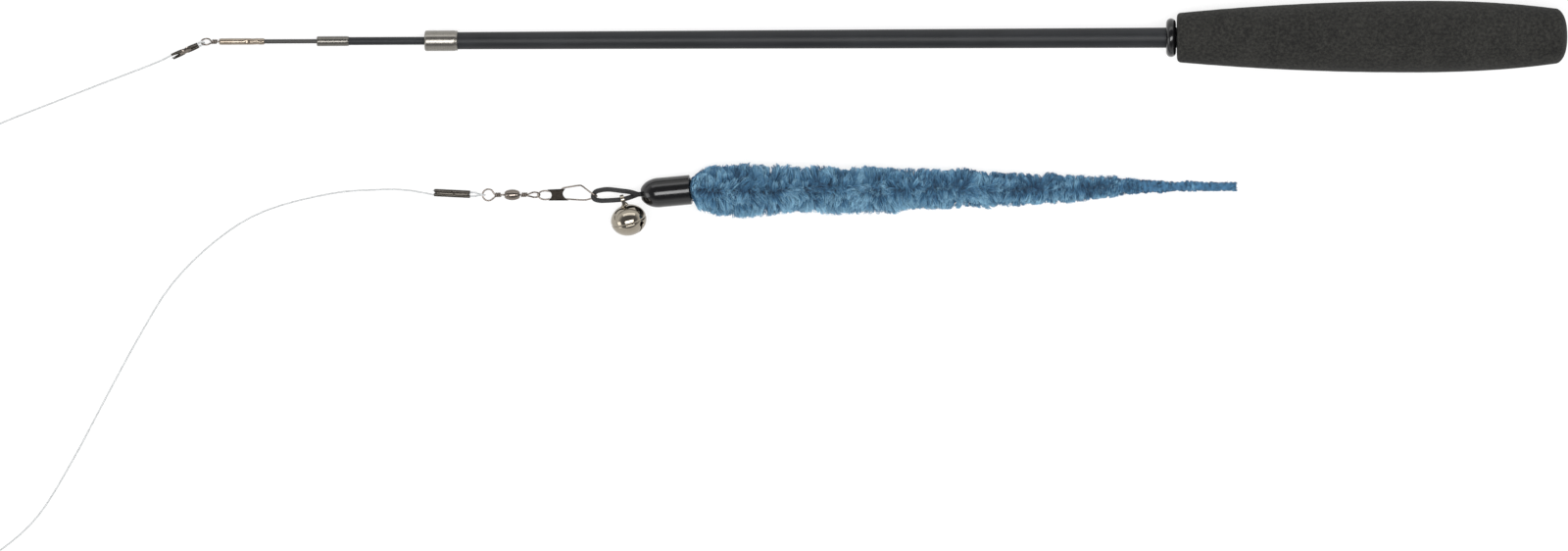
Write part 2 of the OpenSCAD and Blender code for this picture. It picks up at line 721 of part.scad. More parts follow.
module snap_latch_arm() {
    path = concat([for (a = [latch_gap_angle, 30, 45, 60, 75, 90]) crown_point(a)],
        smooth([for (p = latch_shares) snap_point(p)], 2));
    color(nickel)
        on_lure()
            tube(path, snap_wire_r, 8);
}

module snap_plate() {
    thick = 2 * (snap_wire_r + slide_gap + plate_sheet);
    channel_r = snap_wire_r + slide_gap;
    corner_shares = [[0, 0.43], [1.01, 0.5], [1.19, -0.5], [0.12, -0.5]];
    waist_shares = [[0.87, 0], [0.24, 0]];
    steps = 6;
    function at(p) = [snap_x + 0.163 * snap_len + p[0] * plate_len, p[1] * plate_w];
    function bowed(a, b, c) = [for (i = [1:steps - 1])
        let (u = i / steps)
        (1 - u) * (1 - u) * a + 2 * u * (1 - u) * (2 * b - (a + c) / 2) + u * u * c];
    corners = [for (p = corner_shares) at(p)];
    waists = [for (p = waist_shares) at(p)];
    outline = concat([corners[0], corners[1]], bowed(corners[1], waists[0], corners[2]),
        [corners[2], corners[3]], bowed(corners[3], waists[1], corners[0]));
    color(dark_nickel)
        on_lure()
            difference() {
                translate([0, 0, -thick / 2])
                    linear_extrude(height = thick)
                        polygon(outline);
                translate([0, fixed_shares[len(fixed_shares) - 5][1] * snap_loop_w, 0])
                    rod(snap_x, snap_x + snap_len, channel_r);
                translate([0, fixed_shares[0][1] * snap_loop_w, 0])
                    rod(snap_x, snap_x + (fixed_shares[0][0] + 0.02) * snap_len, channel_r);
                translate([snap_x + 0.37 * snap_len, 0.34 * snap_loop_w, -channel_r])
                    cube([snap_len, plate_w, 2 * channel_r]);
            }
}

// Toy

module on_cap() {
    on_lure()
        translate(nose)
            rotate([0, -cap_pitch, cap_turn])
                children();
}
cap_dir = [cos(cap_turn) * cos(cap_pitch), sin(cap_turn) * cos(cap_pitch), sin(cap_pitch)];
cap_up = [-cos(cap_turn) * sin(cap_pitch), -sin(cap_turn) * sin(cap_pitch), cos(cap_pitch)];
knot_r = 1.9;
knot_x = 4.5;

module elastic_loop() {
    lift = elastic_r + nest_gap;
    inside_shares = [0.8, 0.48, 0.24, 0.06];
    path = concat([for (x = inside_shares) nose + x * knot_x * cap_dir + lift * cap_up],
        smooth(concat([for (p = upper_shares) strand_point(p, 1)],
            [for (p = lower_shares) strand_point(p, -1)]), 3),
        [for (i = [3:-1:0]) nose + inside_shares[i] * knot_x * cap_dir - lift * cap_up]);
    color(black) {
        on_lure()
            tube(path, elastic_r, 12);
        on_cap()
            translate([knot_x, 0, 0])
                sphere(r = knot_r);
    }
}

module tail_cap() {
    nose_len = 5.5;
    steps = 10;
    hole_r = 2 * elastic_r + 2 * link_gap;
    lip = 0.2;
    function bullet(r, l, x) = [for (i = [0:steps])
        let (a = 90 * i / steps)
        [x + l * (1 - cos(a)), r * sin(a)]];
    color(black)
        on_cap()
            difference() {
                turned(concat(bullet(cap_r, nose_len, 0), [[cap_len - lip, cap_r], [cap_len, cap_r - lip],
                    [cap_len, 0]]));
                turned(concat(bullet(cap_r - cap_wall, nose_len - cap_wall, 1.5 * cap_wall),
                    [[cap_len + cut, cap_r - cap_wall], [cap_len + cut, 0]]));
                rod(-cut, nose_len, hole_r);
            }
}

// The tail's outline: shares of its length, of its fullest radius, and of the same for its sideways lie
tail_shares = [[0.027, 0.86, 0], [0.06, 0.97, -0.04], [0.095, 1, -0.07], [0.152, 0.94, -0.08],
    [0.18, 0.88, -0.03], [0.23, 0.87, -0.04], [0.285, 0.88, -0.06], [0.35, 0.86, -0.06],
    [0.435, 0.755, 0], [0.53, 0.68, 0], [0.585, 0.62, -0.02], [0.63, 0.59, -0.01], [0.7, 0.51, -0.03],
    [0.74, 0.44, 0.02], [0.79, 0.345, 0.05], [0.87, 0.215, 0.055], [0.94, 0.18, 0.055], [1, 0.17, 0.055]];
mouth = nose + cap_len * cap_dir;
tail_rest = 0.05;
function tail_at(p) = [mouth[0] + p[0] * tail_len, mouth[1] + p[2] * tail_r,
    p[1] * tail_r + tail_rest - lure_z, p[1] * tail_r];
tail_in = cap_len - knot_x - knot_r - 6 * link_gap;
tail_in_r = cap_r - cap_wall - link_gap;
function along_cap(x, r) = concat(nose + (cap_len + x) * cap_dir, [r]);
tail_path = concat([along_cap(-tail_in, tail_in_r), along_cap(-tail_in / 2, tail_in_r),
    along_cap(nest_gap, tail_in_r), along_cap(0.6 * cap_wall, cap_r - link_gap)],
    smooth(concat([along_cap(2 * cap_wall, 0.69 * tail_r)], [for (p = tail_shares) tail_at(p)]), 2));
core_in = tail_in + 3 * link_gap;
core_out_share = 0.985;
core_path = [for (p = concat([along_cap(-core_in, 0)], [for (p = tail_path) p]))
    if (p[0] < mouth[0] + core_out_share * tail_len) [p[0], p[1], p[2]]];

module tail_core() {
    color(nickel)
        on_lure()
            tube(core_path, core_r, 8);
}

module tail_plush() {
    color("#6c94b3")
        on_lure()
            difference() {
                tube([for (p = tail_path) [p[0], p[1], p[2]]], [for (p = tail_path) p[3]], 20);
                tube(core_path, core_r + nest_gap, 8);
            }
}

// Bell: two pressed shells that meet at a seam, a slot that ends in two round holes, a strap and a ball
module on_bell() {
    on_lure()
        translate(bell_at)
            rotate([-(90 + bell_dip), 0, bell_turn])
                children();
}
shell_steps = 9;
seam = 0.07;
function shell_outline(r, h) = [for (i = [0:shell_steps])
    [r * cos(90 * i / shell_steps), h * sin(90 * i / shell_steps)]];

module half_shell() {
    difference() {
        rotate_extrude()
            polygon(concat([[0, 0], [bell_r - seam, 0], [bell_r - seam / 4, seam]],
                [for (i = [1:shell_steps]) shell_outline(bell_r, bell_half)[i]]));
        rotate_extrude()
            polygon(concat([[0, 0]], shell_outline(bell_r - bell_wall, bell_half - bell_wall)));
        translate([0, 0, -cut])
            cylinder(r = bell_r - bell_wall, h = cut);
    }
}

strap_t = 0.35;
strap_in = elastic_r + shank_gap;

module bell_top_shell() {
    hole_w = 2 * (strap_in + strap_t + slide_gap);
    color(bright)
        on_bell()
            difference() {
                half_shell();
                rotate([0, 0, strap_twist])
                    translate([-strap_w / 2 - slide_gap, -hole_w / 2, bell_half / 2])
                        cube([strap_w + 2 * slide_gap, hole_w, bell_half]);
            }
}

slot_turn = -47;
slot_rise = 13;

module bell_bottom_shell() {
    color(bright)
        on_bell()
            rotate([0, 0, slot_turn])
                difference() {
                    mirror([0, 0, 1])
                        half_shell();
                    translate([-bell_r, -slot_w / 2, -bell_half - cut])
                        cube([2 * bell_r, slot_w, bell_half * (1 - sin(slot_rise)) + cut]);
                    for (side = [0, 180])
                        rotate([0, 90 + slot_rise, side])
                            cylinder(r = slot_hole_r, h = bell_r + cut);
                }
}

module bell_shank() {
    foot = 0.7;
    top = bell_hang;
    foot_z = bell_half - 3 * bell_wall;
    color(bright)
        on_bell()
            rotate([0, 0, strap_twist]) {
                translate([0, 0, top])
                    rotate([90, 0, 90])
                        translate([0, 0, -strap_w / 2])
                            rotate_extrude(angle = 180)
                                translate([strap_in, 0])
                                    square([strap_t, strap_w]);
                for (side = [-1, 1])
                    translate([-strap_w / 2, side * (strap_in + strap_t / 2) - strap_t / 2, foot_z])
                        cube([strap_w, strap_t, top - foot_z]);
                for (side = [0, 1])
                    mirror([0, side, 0])
                        translate([-strap_w / 2, strap_in, foot_z - strap_t])
                            cube([strap_w, strap_t + foot, strap_t]);
            }
}

module bell_clapper() {
    color(nickel)
        on_bell()
            translate([0, bell_r - bell_wall - ball_r - link_gap, 0])
                sphere(r = ball_r);
}

grip();
grip_collar();
tube_end_plug();
main_tube();
large_ferrule();
mid_tube();
small_ferrule();
mid_tube_stop();
tip_rod();
tip_rod_stop();
tip_crimp();
tip_eye();
tip_sleeve();
line_upper();
line_coil();
line_lower();
lure_sleeve();
swivel_front_eye();
swivel_barrel();
swivel_rear_eye();
snap_wire();
snap_plate();
snap_latch_arm();
elastic_loop();
tail_cap();
tail_core();
tail_plush();
bell_top_shell();
bell_bottom_shell();
bell_shank();
bell_clapper();
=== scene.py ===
import bisect
import math
import random
import bpy
from mathutils import Matrix, Vector, noise


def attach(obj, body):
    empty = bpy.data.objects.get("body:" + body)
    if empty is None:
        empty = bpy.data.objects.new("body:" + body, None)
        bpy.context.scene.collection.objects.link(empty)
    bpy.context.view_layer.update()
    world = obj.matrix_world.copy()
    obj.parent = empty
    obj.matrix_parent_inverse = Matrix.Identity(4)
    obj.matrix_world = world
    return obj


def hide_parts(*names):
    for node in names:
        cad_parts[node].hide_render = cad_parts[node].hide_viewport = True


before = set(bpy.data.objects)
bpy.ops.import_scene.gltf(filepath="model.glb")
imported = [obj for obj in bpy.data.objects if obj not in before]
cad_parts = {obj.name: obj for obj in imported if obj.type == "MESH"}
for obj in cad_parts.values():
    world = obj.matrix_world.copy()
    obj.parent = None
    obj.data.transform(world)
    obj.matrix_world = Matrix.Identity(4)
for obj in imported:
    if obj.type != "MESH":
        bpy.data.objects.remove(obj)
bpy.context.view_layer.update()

mm = 0.001
random.seed(4)
noise.seed_set(4)  # noise_vector starts from the clock without it
print("frame loaded:", len(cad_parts), "nodes")


# Places, in mm, as the part has them

def turned(degrees, axis, size=4):
    return Matrix.Rotation(math.radians(degrees), size, axis)


wandPlace = {"at": (-130.775, 22.8786, 2.93036), "lean": 1.52268}
lurePlace = {"at": (-105.975, -21.2214, 1.55)}
onWand = Matrix.Translation(wandPlace["at"]) @ turned(-wandPlace["lean"], "Y")
onLure = Matrix.Translation(lurePlace["at"])


def ease(u):
    u = min(max(u, 0), 1)
    return u * u * (3 - 2 * u)


def mix(a, b, share):
    return a + (b - a) * share


def polar(r, degrees, z=0.0):
    return Vector((r * math.cos(math.radians(degrees)), r * math.sin(math.radians(degrees)), z))


def arc(x, y, wide, high, first, last, steps):  # (x, y) of an ellipse, over the top from its left end
    angles = [math.radians(mix(first, last, i / steps)) for i in range(steps + 1)]
    return [(x - wide * math.cos(a), y + high * math.sin(a)) for a in angles]


def curveAt(a, b, c, d, u):
    return 0.5 * ((2 * b) + (c - a) * u + (2 * a - 5 * b + 4 * c - d) * u * u
                  + (3 * b - a - 3 * c + d) * u ** 3)


def smoothRoute(points, steps):
    p = [Vector(q) for q in points]
    made = [curveAt(p[max(i - 1, 0)], p[i], p[i + 1], p[min(i + 2, len(p) - 1)], k / steps)
            for i in range(len(p) - 1) for k in range(steps)]
    return made + [p[-1]]


def sideways(path):  # a tangent, side and up for each point, without twist
    p = [Vector(q) for q in path]
    ts = [(p[min(i + 1, len(p) - 1)] - p[max(i - 1, 0)]).normalized() for i in range(len(p))]
    side = Vector((0, 0, 1))
    made = []
    for t in ts:
        side = (side - side.dot(t) * t).normalized()
        made.append((t, side, t.cross(side)))
    return made


def newObject(name, data):
    made = bpy.data.objects.new(name, data)
    bpy.context.collection.objects.link(made)
    return made


def meshPiece(name, verts, faces, uvs=None, uvName="along"):  # verts in mm
    mesh = bpy.data.meshes.new(name)
    mesh.from_pydata([Vector(v) * mm for v in verts], [], faces)
    mesh.validate()
    mesh.shade_smooth()
    if uvs:
        layer = mesh.uv_layers.new(name=uvName)
        layer.data.foreach_set("uv", [c for loop in mesh.loops for c in uvs[loop.vertex_index]])
    return newObject(name, mesh)


def turnedPoint(x, a, r):  # at angle a round the x axis
    return Vector((x, r * math.cos(a), r * math.sin(a)))


def dress(piece, material, slot, body, *nodes):
    piece.data.materials.append(material)
    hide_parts(*nodes)
    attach(piece, body)


def ringFaces(rings, sides):  # between rings of the same number of points
    steps = [(i * sides + k, i * sides + (k + 1) % sides) for i in range(rings - 1) for k in range(sides)]
    return [(a, b, b + sides, a + sides) for a, b in steps]


def ringFacesBack(rings, sides):  # the same faces, looking the other way
    return [(a, d, c, b) for a, b, c, d in ringFaces(rings, sides)]


def endFaces(rings, sides):
    return [tuple(range(sides - 1, -1, -1)), tuple(range((rings - 1) * sides, rings * sides))]


def sweepParts(path, radius, sides):  # a round bar along a path, with one radius or one for each point
    verts, uvs = [], []
    run = 0.0
    for i, (point, (t, s, n)) in enumerate(zip(path, sideways(path))):
        r = radius[i] if isinstance(radius, (list, tuple)) else radius
        if i:
            run += (Vector(point) - Vector(path[i - 1])).length
        for k in range(sides):
            a = 2 * math.pi * k / sides
            verts.append(Vector(point) + r * (math.cos(a) * s + math.sin(a) * n))
            uvs.append((run, k / sides))
    return verts, ringFaces(len(path), sides) + endFaces(len(path), sides), uvs


def sweep(name, path, radius, sides, place):
    verts, faces, uvs = sweepParts(path, radius, sides)
    return meshPiece(name, [place @ v for v in verts], faces, uvs)


def revolve(name, outline, steps, place, bump):  # an outline of (x, radius) about x, and its unevenness
    verts, uvs = [], []
    run = 0.0
    for i, (x, r) in enumerate(outline):
        if i:
            run += math.dist(outline[i - 1], (x, r))
        for k in range(steps):
            a = 2 * math.pi * k / steps
            verts.append(place @ turnedPoint(x, a, r + bump(x, a, r)))
            uvs.append((run, k / steps))
    return meshPiece(name, verts, ringFaces(len(outline), steps), uvs)


def turnedPart(outline, steps):  # an outline of (x, radius) about x
    verts = [turnedPoint(x, 2 * math.pi * k / steps, r) for x, r in outline for k in range(steps)]
    return verts, ringFacesBack(len(outline), steps)


def joined(name, parts, place):  # (verts, faces) parts in one mesh
    verts, faces = [], []
    flip = place.determinant() < 0
    for part in parts:
        first = len(verts)
        verts += [place @ Vector(v) for v in part[0]]
        faces += [tuple(first + i for i in (reversed(f) if flip else f)) for f in part[1]]
    return meshPiece(name, verts, faces)


# Shader sockets that Python's operators work on

class Sock:
    def __init__(self, tree, out):
        self.tree = tree
        self.out = out

    def make(self, kind, inputs=None, pick=0, stops=None, **settings):
        return makeNode(self.tree, kind, inputs, pick, stops, **settings)

    def join(self, operation, other, flipped=False):
        pair = (other, self) if flipped else (self, other)
        kinds = [p.out.type for p in pair if isinstance(p, Sock)]
        if "RGBA" in kinds:
            return self.make("ShaderNodeMix", {0: 1.0, 6: pair[0], 7: pair[1]}, 2,
                             data_type="RGBA", blend_type=operation)
        if "VECTOR" in kinds:
            return self.make("ShaderNodeVectorMath", {0: pair[0], 1: pair[1]}, operation=operation)
        return self.make("ShaderNodeMath", {0: pair[0], 1: pair[1]}, operation=operation)

    def __add__(self, other):
        return self.join("ADD", other)

    def __radd__(self, other):
        return self.join("ADD", other, True)

    def __sub__(self, other):
        return self.join("SUBTRACT", other)

    def __rsub__(self, other):
        return self.join("SUBTRACT", other, True)

    def __mul__(self, other):
        return self.join("MULTIPLY", other)

    def __rmul__(self, other):
        return self.join("MULTIPLY", other, True)

    def sine(self):
        return self.make("ShaderNodeMath", {0: self}, operation="SINE")

    def between(self, low, high):  # 0 at low, 1 at high, held at both
        return self.make("ShaderNodeMapRange", {0: self, 1: low, 2: high}, clamp=True)

    def blend(self, first, second):  # this value goes from the first colour to the second
        return self.make("ShaderNodeMix", {0: self, 6: first, 7: second}, 2, data_type="RGBA")

    def part(self, name):  # X, Y or Z of a vector
        return self.make("ShaderNodeSeparateXYZ", {0: self}, "XYZ".index(name))


def makeNode(tree, kind, inputs=None, pick=0, stops=None, **settings):
    node = tree.nodes.new(kind)
    for key, value in settings.items():
        setattr(node, key, value)
    for i, (place, colour) in enumerate(stops or []):
        ramp = node.color_ramp.elements
        stop = ramp[i] if i < 2 else ramp.new(place)
        stop.position, stop.color = place, (*colour, 1)
    for key, value in (inputs or {}).items():
        target = node.inputs[key]
        if isinstance(value, Sock):
            tree.links.new(value.out, target)
        elif target.type == "RGBA" and not isinstance(value, (int, float)):
            target.default_value = (*value, 1) if len(value) == 3 else value
        elif target.type == "VECTOR" and isinstance(value, (int, float)):
            target.default_value = (value, value, value)
        else:
            target.default_value = value
    return Sock(tree, node.outputs[pick])


def finish(name, look, bumpStrength=0.3, bumpDepth=0.0001, **fixed):
    material = bpy.data.materials.new(name)
    material.use_nodes = True
    tree = material.node_tree
    shader = tree.nodes["Principled BSDF"]
    for key, value in fixed.items():
        slot = key.replace("_", " ").title().replace("Ior", "IOR")
        shader.inputs[slot].default_value = (*value, 1) if isinstance(value, tuple) else value
    place = makeNode(tree, "ShaderNodeTexCoord", pick=3)  # object coordinates, in metres
    for key, sock in look(place).items():
        if key == "Height":
            bump = place.make("ShaderNodeBump", {"Strength": bumpStrength, "Distance": bumpDepth,
                                                 "Height": sock})
            tree.links.new(bump.out, shader.inputs["Normal"])
        else:
            tree.links.new(sock.out, shader.inputs[key])
    return material


def speckle(place, perMm, detail=3.0, roughness=0.55, stretch=(1, 1, 1)):
    at = place.make("ShaderNodeMapping", {"Vector": place, "Scale": [1000 * perMm * s for s in stretch]})
    return at.make("ShaderNodeTexNoise", {"Vector": at, "Scale": 1.0, "Detail": detail,
                                          "Roughness": roughness})


def cells(place, perMm):
    return place.make("ShaderNodeTexVoronoi", {"Vector": place, "Scale": 1000 * perMm})


# Finishes

def foamLook(place):
    grain, cloud = speckle(place, 1.1, 5.0, 0.75), speckle(place, 0.12, 2.0)
    pores = cells(place, 2.4).between(0.05, 0.42)
    tone = grain.between(0.38, 0.66) * 0.8 + cloud.between(0.3, 0.7) * 0.2
    return {"Base Color": tone.blend((0.001, 0.001, 0.001), (0.032, 0.0315, 0.0275)),
            "Roughness": 0.78 + grain * 0.2,
            "Height": grain * 0.9 + pores * 0.5}


def satinLook(place):  # painted glass-fibre tube
    streak, cloud = speckle(place, 1.6, 3.0, 0.6, (0.03, 1, 1)), speckle(place, 0.09, 2.0)
    tone = streak.between(0.35, 0.7) * 0.5 + cloud.between(0.4, 0.65) * 0.5
    return {"Base Color": tone.blend((0.007, 0.008, 0.0095), (0.015, 0.0165, 0.019)),
            "Roughness": 0.38 + streak * 0.16 + cloud * 0.08,
            "Height": streak}


def rodLook(place):  # the thin tip rod is duller and a little brown
    streak = speckle(place, 2.4, 3.0, 0.6, (0.05, 1, 1))
    return {"Base Color": streak.blend((0.014, 0.0135, 0.012), (0.034, 0.032, 0.027)),
            "Roughness": 0.36 + streak * 0.2, "Height": streak}


def ferruleLook(place, bright=1.0):  # turned metal, brushed round the axis
    brush, cloud = speckle(place, 9.0, 2.0, 0.6, (1, 0.04, 0.04)), speckle(place, 0.5, 3.0)
    low, high = ([c * bright for c in colour] for colour in ((0.19, 0.18, 0.162), (0.26, 0.248, 0.225)))
    return {"Base Color": cloud.blend(low, high),
            "Roughness": 0.24 + brush * 0.04 + cloud * 0.04, "Height": brush}


def nickelLook(place):
    cloud = speckle(place, 1.1, 4.0, 0.6)
    return {"Base Color": cloud.blend((0.13, 0.11, 0.095), (0.24, 0.21, 0.185)),
            "Roughness": 0.12 + cloud * 0.16, "Height": speckle(place, 6.0, 2.0)}


def tipNickelLook(place):  # warm nickel, a little browned
    cloud, scratch = speckle(place, 0.5, 3.0, 0.6), speckle(place, 5.0, 3.0, 0.6, (0.06, 1, 1))
    return {"Base Color": cloud.blend((0.2, 0.16, 0.12), (0.34, 0.295, 0.245)),
            "Roughness": 0.2 + scratch * 0.14, "Height": scratch}


def darkMetalLook(place):  # burnished sleeves
    cloud, scratch = speckle(place, 0.8, 4.0, 0.65), speckle(place, 5.0, 3.0, 0.6, (0.1, 1, 1))
    return {"Base Color": cloud.blend((0.028, 0.025, 0.021), (0.07, 0.064, 0.056)),
            "Roughness": 0.2 + cloud * 0.1 + scratch * 0.04, "Height": scratch}


def plateLook(place):  # blackened sheet, worn in patches
    cloud, wear = speckle(place, 1.3, 4.0, 0.7), speckle(place, 0.5, 3.0)
    patch = (cloud * 0.6 + wear * 0.4).between(0.35, 0.65)
    return {"Base Color": patch.blend((0.008, 0.0068, 0.006), (0.036, 0.031, 0.026)),
            "Roughness": 0.42 + cloud * 0.2, "Height": cloud}


def bellLook(place):
    cloud = speckle(place, 0.35, 3.0, 0.5)
    return {"Base Color": cloud.blend((0.28, 0.25, 0.2), (0.36, 0.325, 0.27)),
            "Roughness": 0.05 + cloud * 0.06, "Height": speckle(place, 2.0, 2.0)}


def nylonLook(place):
    cloud = speckle(place, 0.4, 2.0)
    return {"Base Color": cloud.blend((0.42, 0.43, 0.435), (0.51, 0.52, 0.525)),
            "Roughness": 0.2 + cloud * 0.15, "Height": cloud}


def braidLook(place):  # the elastic's woven cover: strands along the cord and round it
    uv = place.make("ShaderNodeUVMap", uv_map="along")
    along, around = uv.part("X") * 9.0, uv.part("Y") * (2 * math.pi * 8)
    weave = (along + around).sine() * (along - around).sine()
    fray = speckle(place, 4.0, 3.0)
    return {"Base Color": (weave * 0.5 + fray * 0.5).blend((0.008, 0.008, 0.009), (0.035, 0.035, 0.037)),
            "Roughness": 0.62 + fray * 0.25, "Height": weave * 0.6 + fray * 0.4}


def capLook(place):
    cloud, scuff = speckle(place, 0.3, 3.0), speckle(place, 3.0, 3.0, 0.6, (0.15, 1, 1))
    return {"Base Color": cloud.blend((0.0025, 0.0025, 0.003), (0.005, 0.005, 0.0055)),
            "Roughness": 0.14 + scuff.between(0.4, 0.8) * 0.1, "Height": cloud}


def plushLook(place):  # painted shade between the tufts and at the fibres' roots, painted highlight at the fibres' ends
    tone = place.make("ShaderNodeAttribute", pick=2, attribute_name="tone")
    cloud = speckle(place, 0.28, 3.0, 0.6)
    shade = tone * 0.75 + cloud.between(0.3, 0.7) * 0.25
    # the deep colour is painted shade for the roots and the gaps, the last colour is painted highlight for
    # the ends
    deep = shade.between(0.0, 0.5).blend((0.01, 0.044, 0.1), (0.055, 0.172, 0.305))
    return {"Base Color": shade.between(0.45, 0.95).blend(deep, (0.25, 0.475, 0.63)),
            "Roughness": 0.8 + cloud * 0.15, "Height": speckle(place, 3.0, 3.0)}


foam = finish("eva foam", foamLook, 0.55, 0.00012, specular_ior_level=0.35)
satin = finish("satin tube", satinLook, 0.08, 0.00004, specular_ior_level=0.3)
rodSatin = finish("tip rod", rodLook, 0.08, 0.00003)
ferruleMetal = finish("brushed nickel", ferruleLook, 0.02, 0.00002, metallic=1.0)
smallFerruleMetal = finish("darker brushed nickel", lambda place: ferruleLook(place, 0.62), 0.02,
                           0.00002, metallic=1.0)
nickel = finish("nickel wire", nickelLook, 0.05, 0.00002, metallic=1.0)
tipNickel = finish("tip nickel", tipNickelLook, 0.08, 0.00002, metallic=1.0)
darkMetal = finish("dark nickel", darkMetalLook, 0.04, 0.00003, metallic=1.0)
plateMetal = finish("blackened plate", plateLook, 0.2, 0.00003, metallic=1.0)
bellMetal = finish("bell nickel", bellLook, 0.02, 0.00002, metallic=1.0)
nylon = finish("nylon line", nylonLook, 0.04, 0.00002, ior=1.53)
braid = finish("elastic braid", braidLook, 0.6, 0.00008)
glossBlack = finish("gloss black", capLook, 0.01, 0.00002, coat_weight=0.05, coat_roughness=0.06)
plush = finish("plush", plushLook, 0.4, 0.0002, sheen_weight=0.2, sheen_roughness=0.5,
               sheen_tint=(0.6, 0.75, 0.85))
print("finishes made")


# Camera, floor and light: straight down on the table

shot = {"centre": (-28.3, -44.56), "lens": 200, "wide": 448.0, "aboveFloor": 5.0, "roll": -0.2}
camera = newObject("camera", bpy.data.cameras.new("camera"))
camera.data.lens, camera.data.sensor_width = shot["lens"], 36
camera.data.clip_end = 20
camera.location = Vector((*shot["centre"], shot["wide"] * shot["lens"] / 36 + shot["aboveFloor"])) * mm
camera.rotation_euler.z = math.radians(shot["roll"])
bpy.context.scene.camera = camera

tableHalf, tableTop = 3000, -0.1
table = meshPiece("table", [(x * tableHalf, y * tableHalf, tableTop)
                            for x, y in ((-1, -1), (1, -1), (1, 1), (-1, 1))], [(0, 1, 2, 3)])
table.data.materials.append(finish("pale table", lambda place: {
    "Base Color": speckle(place, 0.01, 2.0).blend((0.25, 0.25, 0.25), (0.27, 0.27, 0.27))},
    roughness=0.7, specular_ior_level=0.2, emission_color=(1.0, 1.0, 1.0), emission_strength=0.74))

lights = {  # place in metres, size, watts
    "top": ((0.05, -0.22, 1.88), (1.9, 0.7), 35.0),
    "back": ((-0.1, 1.5, 1.0), (2.4, 0.6), 8.0),
    "side": ((-1.9, -0.6, 0.9), (1.0, 0.8), 6.0),
}
for lightName, (place, size, watts) in lights.items():
    lamp = bpy.data.lights.new(lightName, "AREA")
    lamp.shape, lamp.size, lamp.size_y, lamp.energy = "RECTANGLE", *size, watts
    lampObject = newObject(lightName, lamp)
    lampObject.location = place
    lampObject.rotation_euler = (-Vector(place)).to_track_quat("-Z", "Y").to_euler()

world = bpy.data.worlds.new("studio")
world.use_nodes = True
bpy.context.scene.world = world
skyWay = makeNode(world.node_tree, "ShaderNodeTexCoord", pick=0)
sky = skyWay.make("ShaderNodeValToRGB", {0: skyWay.part("Z")}, stops=[
    (0.0, (0.6, 0.6, 0.6)), (0.22, (0.8, 0.8, 0.79)), (0.42, (0.5, 0.5, 0.5)), (0.62, (0.16, 0.16, 0.165)),
    (0.9, (0.12, 0.12, 0.125))])
world.node_tree.links.new(sky.out, world.node_tree.nodes["Background"].inputs["Color"])
world.node_tree.nodes["Background"].inputs["Strength"].default_value = 1.5
bpy.context.scene.view_settings.view_transform = "Standard"
print("camera and light set")


# The nylon line: through the tip's sleeve, round the tip eye, along the table and round the swivel's eye

line = {
    "r": 0.25, "wire": 0.235, "bight": 0.635, "pitch": 1.14, "tail": 0.4,
    "tipLink": (-194.578, 22.3569, 1.85629), "tipWay": (-0.912036, -0.396565, -0.104528),
    "tipSide": (-0.364342, 0.666487, 0.650423), "tipLoop": 1.2, "tipSleeve": 8.1,
    "lureLink": (-114.44, -21.2214, 1.55), "lureWay": (-0.997261, 0.0522642, -0.052336),
    "lureLoop": 3.6, "lureSleeve": 10.3,
    "upper": [(-206, 17.7, 0.7), (-212, 15.3, 0.3), (-225, 10.4, 0.25), (-240, 4.6, 0.25),
              (-252, -0.1, 0.25), (-258, -3.2, 0.25), (-263, -8.5, 0.25), (-266, -16, 0.25),
              (-267, -24, 0.25)],
    "lower": [(-267, -37, 1.5), (-267.2, -43, 0.3), (-268, -60, 0.25), (-268, -80, 0.25),
              (-267, -100, 0.25), (-266, -113, 0.25), (-263, -121, 0.25), (-258, -124, 0.25),
              (-252, -121.7, 0.25), (-242, -112.5, 0.25), (-232.6, -97.6, 0.25), (-222.8, -79.4, 0.25),
              (-213.3, -62, 0.25), (-203.5, -46.4, 0.25), (-190.6, -33.8, 0.25), (-176.9, -25.6, 0.25),
              (-158.1, -20.7, 0.3), (-144, -19.6, 0.6), (-136, -19.8, 0.8)],
    "coil": {"at": (-262.5, -30), "r": 4.5, "pitch": 1.0, "turns": 3, "layers": 4, "step": 1.0},
}


def loopEnd(link, way, side, roll, length, steps):  # down one strand, round the wire, up the other
    link, way, side = Vector(link), Vector(way), Vector(side)

    def strand(s, sign):
        turn = math.radians(roll) * ease(s / length)
        half = mix(line["bight"], line["pitch"] / 2, ease(s / length))
        return link + way * s + sign * half * (math.cos(turn) * side + math.sin(turn) * way.cross(side))

    bend = [link + line["bight"] * (side * math.cos(a) - way * math.sin(a))
            for a in (math.radians(180 - 10 * i) for i in range(19))]
    return ([strand(length * i / steps, -1) for i in range(steps, 0, -1)] + bend
            + [strand(length * i / steps, 1) for i in range(1, steps + 1)])


def coilRoute(coil):
    made = []
    turns, layers = coil["turns"], coil["layers"]
    for i in range(24 * turns * layers + 1):
        a = 15 * i
        q = a / (360 * turns)
        inward = q % 2 if q % 2 < 1 else 2 - q % 2
        up = sum(min(max((q - j) * 2 * turns + 0.5, 0), 1) for j in range(1, layers))
        p = polar(coil["r"] - coil["pitch"] * turns * inward, 180 + a, line["r"] + coil["step"] * up)
        made.append(p + Vector((*coil["at"], 0)))
    return made


def overTable(points):
    return [Vector((p.x, p.y, max(p.z, line["r"]))) for p in points]


